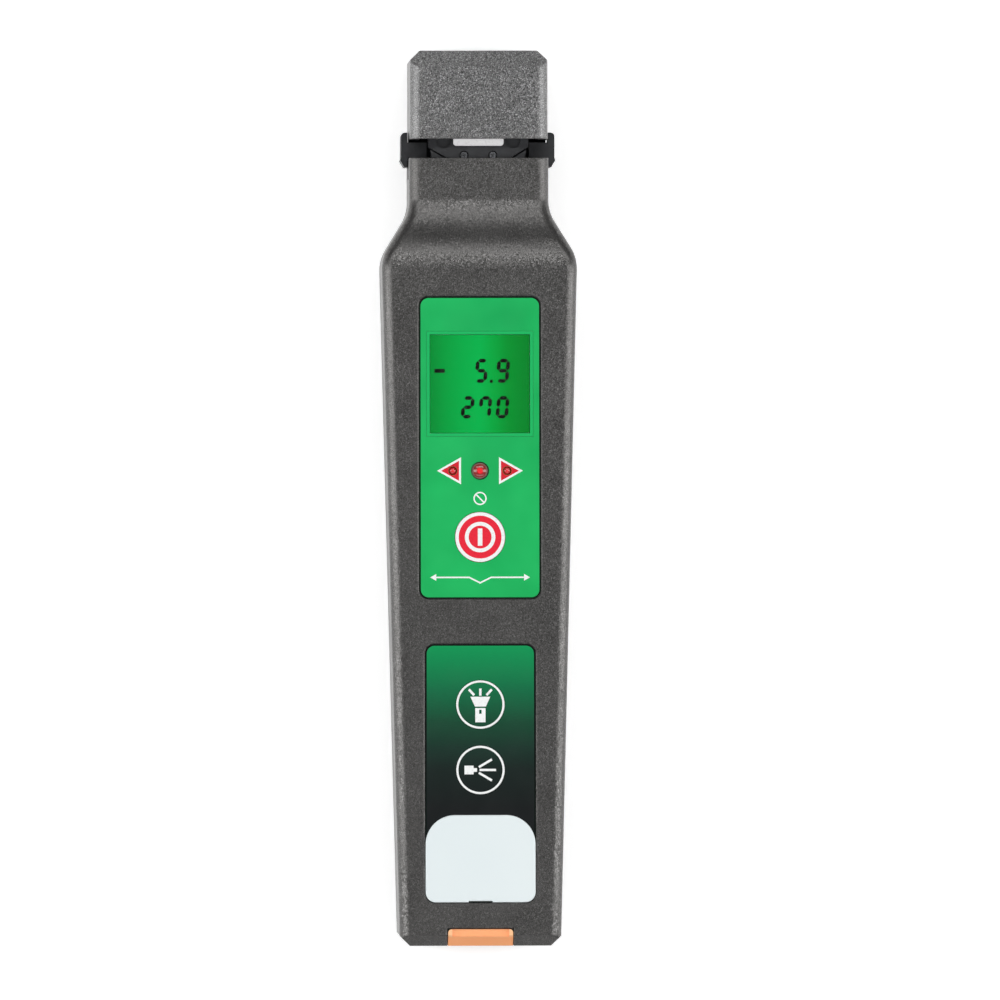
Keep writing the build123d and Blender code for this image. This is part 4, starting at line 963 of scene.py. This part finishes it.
# The middles of a node's separate solids, on the level of the head's outer face
def solid_middles(node, z):
    mesh = nodes[node].data
    links = {}

    def root(index):
        while links.setdefault(index, index) != index:
            index = links[index]
        return index

    keys = [tuple(round(c, 6) for c in vertex.co) for vertex in mesh.vertices]
    for polygon in mesh.polygons:
        first = keys[polygon.vertices[0]]
        for index in polygon.vertices[1:]:
            links[root(keys[index])] = root(first)
    groups = {}
    for key in set(keys):
        groups.setdefault(root(key), []).append(key)
    middles = []
    for members in groups.values():
        xs = [key[0] for key in members]
        ys = [key[1] for key in members]
        middles.append(((min(xs) + max(xs)) / 2 / MM, (min(ys) + max(ys)) / 2 / MM, z))
    return sorted(middles)


# Head radius, head height, shank radius and, for the case's screws, shank length
CASE_SCREW, GATE_SCREW = (2.1, 1.6, 1.08, 14.0), (0.95, 0.6, 0.58)

back_head_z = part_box("housing_screws")[0].z / MM
for node, name in (("housing_screws", "case_screws"), ("head_screws", "cap_screws")):
    screw_set(name, solid_middles(node, back_head_z), *CASE_SCREW, (math.pi, 0, 0), node)
gate_low, gate_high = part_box("anvil_screws")
screw_set("gate_screws", solid_middles("anvil_screws", gate_high.z / MM), *GATE_SCREW,
          (gate_high.z - gate_low.z) / MM - GATE_SCREW[1], (0, 0, 0), "anvil_screws")


# A coil spring of round wire, standing along Y
def spring_tree(material):
    tree, group_in, group_out = start_tree("coil_spring")
    ids = {
        "turns": tree_input(tree, "Turns", "NodeSocketFloat", 4.0),
        "radius": tree_input(tree, "Coil Radius", "NodeSocketFloat", 0.0019),
        "height": tree_input(tree, "Free Height", "NodeSocketFloat", 0.006),
        "wire": tree_input(tree, "Wire Radius", "NodeSocketFloat", 0.0003),
        "foot": tree_input(tree, "Foot", "NodeSocketVector"),
    }
    links = tree.links
    coil = tree.nodes.new("GeometryNodeCurveSpiral")
    coil.inputs["Resolution"].default_value = 28
    links.new(group_in.outputs["Turns"], coil.inputs["Rotations"])
    links.new(group_in.outputs["Coil Radius"], coil.inputs["Start Radius"])
    links.new(group_in.outputs["Coil Radius"], coil.inputs["End Radius"])
    links.new(group_in.outputs["Free Height"], coil.inputs["Height"])
    section = tree.nodes.new("GeometryNodeCurvePrimitiveCircle")
    section.inputs["Resolution"].default_value = 10
    links.new(group_in.outputs["Wire Radius"], section.inputs["Radius"])
    wire = tree.nodes.new("GeometryNodeCurveToMesh")
    wire.inputs["Fill Caps"].default_value = True
    links.new(coil.outputs[0], wire.inputs["Curve"])
    links.new(section.outputs[0], wire.inputs["Profile Curve"])
    laid = tree.nodes.new("GeometryNodeTransform")
    laid.inputs["Rotation"].default_value = (-math.pi / 2, 0, 0)
    links.new(wire.outputs[0], laid.inputs["Geometry"])
    links.new(group_in.outputs["Foot"], laid.inputs["Translation"])
    real = tree.nodes.new("GeometryNodeRealizeInstances")
    links.new(laid.outputs[0], real.inputs[0])
    finish = tree.nodes.new("GeometryNodeSetMaterial")
    finish.inputs["Material"].default_value = material
    links.new(real.outputs[0], finish.inputs["Geometry"])
    links.new(finish.outputs[0], group_out.inputs[0])
    return tree, ids


SPRING_TURNS, COIL_RADIUS, WIRE_RADIUS = 4.0, 1.85 * MM, 0.3 * MM

coils, coil_ids = spring_tree(spring_steel)
for side in ("left", "right"):
    node = "return_spring_" + side
    low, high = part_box(node)
    axis_x, axis_z = (low.x + high.x) / 2, (low.z + high.z) / 2
    height = high.y - low.y - 2 * WIRE_RADIUS
    made = grown("spring_" + side, [(0, 0, 0)], coils, {
        coil_ids["turns"]: SPRING_TURNS, coil_ids["radius"]: COIL_RADIUS, coil_ids["height"]: height,
        coil_ids["wire"]: WIRE_RADIUS, coil_ids["foot"]: (axis_x, low.y + WIRE_RADIUS, axis_z),
    }, spring_steel)
    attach(made, "housing")
    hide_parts(node)
    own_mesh(made)


# Studio: camera, floor and lamps

# A long lens above the case, a little to its left
def set_camera():
    target = Vector((4.45, -0.5, 28.0)) * MM
    distance, width_seen, sensor, lean, roll = 3.0, 0.2188, 36.0, -1.7, -0.09
    data = bpy.data.cameras.new("camera")
    data.sensor_width = sensor
    data.lens = sensor * distance / width_seen
    camera = bpy.data.objects.new("camera", data)
    bpy.context.collection.objects.link(camera)
    camera.matrix_world = (
        Matrix.Translation(target)
        @ Matrix.Rotation(math.radians(lean), 4, "Y")
        @ Matrix.Rotation(math.radians(roll), 4, "Z")
        @ Matrix.Translation((0, 0, distance))
    )
    bpy.context.scene.camera = camera


# White floor that shows as plain white to the camera but keeps the soft shadow
def white_floor():
    glow, reach, level = 0.45, 4.0, -0.2 * MM
    material, tree, shader = start_material("floor_white")
    shader.inputs["Base Color"].default_value = (0.9, 0.9, 0.9, 1.0)
    shader.inputs["Roughness"].default_value = 0.9
    path = tree.nodes.new("ShaderNodeLightPath")
    seen = sums(tree, "MAXIMUM", path.outputs["Is Camera Ray"],
                sums(tree, "MAXIMUM", path.outputs["Is Glossy Ray"],
                     path.outputs["Is Transmission Ray"]))
    tree.links.new(sums(tree, "MULTIPLY", seen, glow), shader.inputs["Emission Strength"])
    shader.inputs["Emission Color"].default_value = (1, 1, 1, 1)
    mesh = bpy.data.meshes.new("floor")
    corners = [(x, y, level) for x, y in rectangle(-reach, -reach, reach, reach)]
    mesh.from_pydata(corners, [], [(0, 1, 2, 3)])
    mesh.materials.append(material)
    floor = bpy.data.objects.new("floor", mesh)
    bpy.context.collection.objects.link(floor)


def soft_lamp(name, place, aim, width, height, power):
    data = bpy.data.lights.new(name, "AREA")
    data.shape = "RECTANGLE"
    data.size, data.size_y, data.energy = width, height, power
    lamp = bpy.data.objects.new(name, data)
    bpy.context.collection.objects.link(lamp)
    direction = Vector(aim) - Vector(place)
    turn = direction.to_track_quat("-Z", "Y").to_matrix().to_4x4()
    lamp.matrix_world = Matrix.Translation(place) @ turn


# Each lamp: its name, place, aim, width and length in metres, and power in watts
CASE_MIDDLE = (0, 0, 0.02)
LAMPS = [
    ("left_strip", (-0.8, 0.0, 0.62), CASE_MIDDLE, 0.3, 1.3, 6.0),
    ("right_strip", (0.8, 0.0, 0.62), CASE_MIDDLE, 0.3, 1.3, 6.0),
    ("head_lamp", (0.0, 0.5, 0.95), CASE_MIDDLE, 1.0, 0.16, 3.0),
    ("foot_lamp", (0.0, -0.42, 0.62), (0, -0.08, 0.02), 0.8, 0.2, 1.1),
]

# Strength of the world for every ray but the camera's, which sees plain white
ROOM_LIGHT = 0.12


def studio():
    for lamp in LAMPS:
        soft_lamp(*lamp)
    world = bpy.data.worlds.new("studio")
    bpy.context.scene.world = world
    world.use_nodes = True
    tree = world.node_tree
    background = tree.nodes["Background"]
    background.inputs["Color"].default_value = (1, 1, 1, 1)
    path = tree.nodes.new("ShaderNodeLightPath")
    strength = sums(tree, "MULTIPLY_ADD", path.outputs["Is Camera Ray"], 1 - ROOM_LIGHT, ROOM_LIGHT)
    tree.links.new(strength, background.inputs["Strength"])
    bpy.context.scene.view_settings.view_transform = "Standard"


set_camera()
white_floor()
studio()
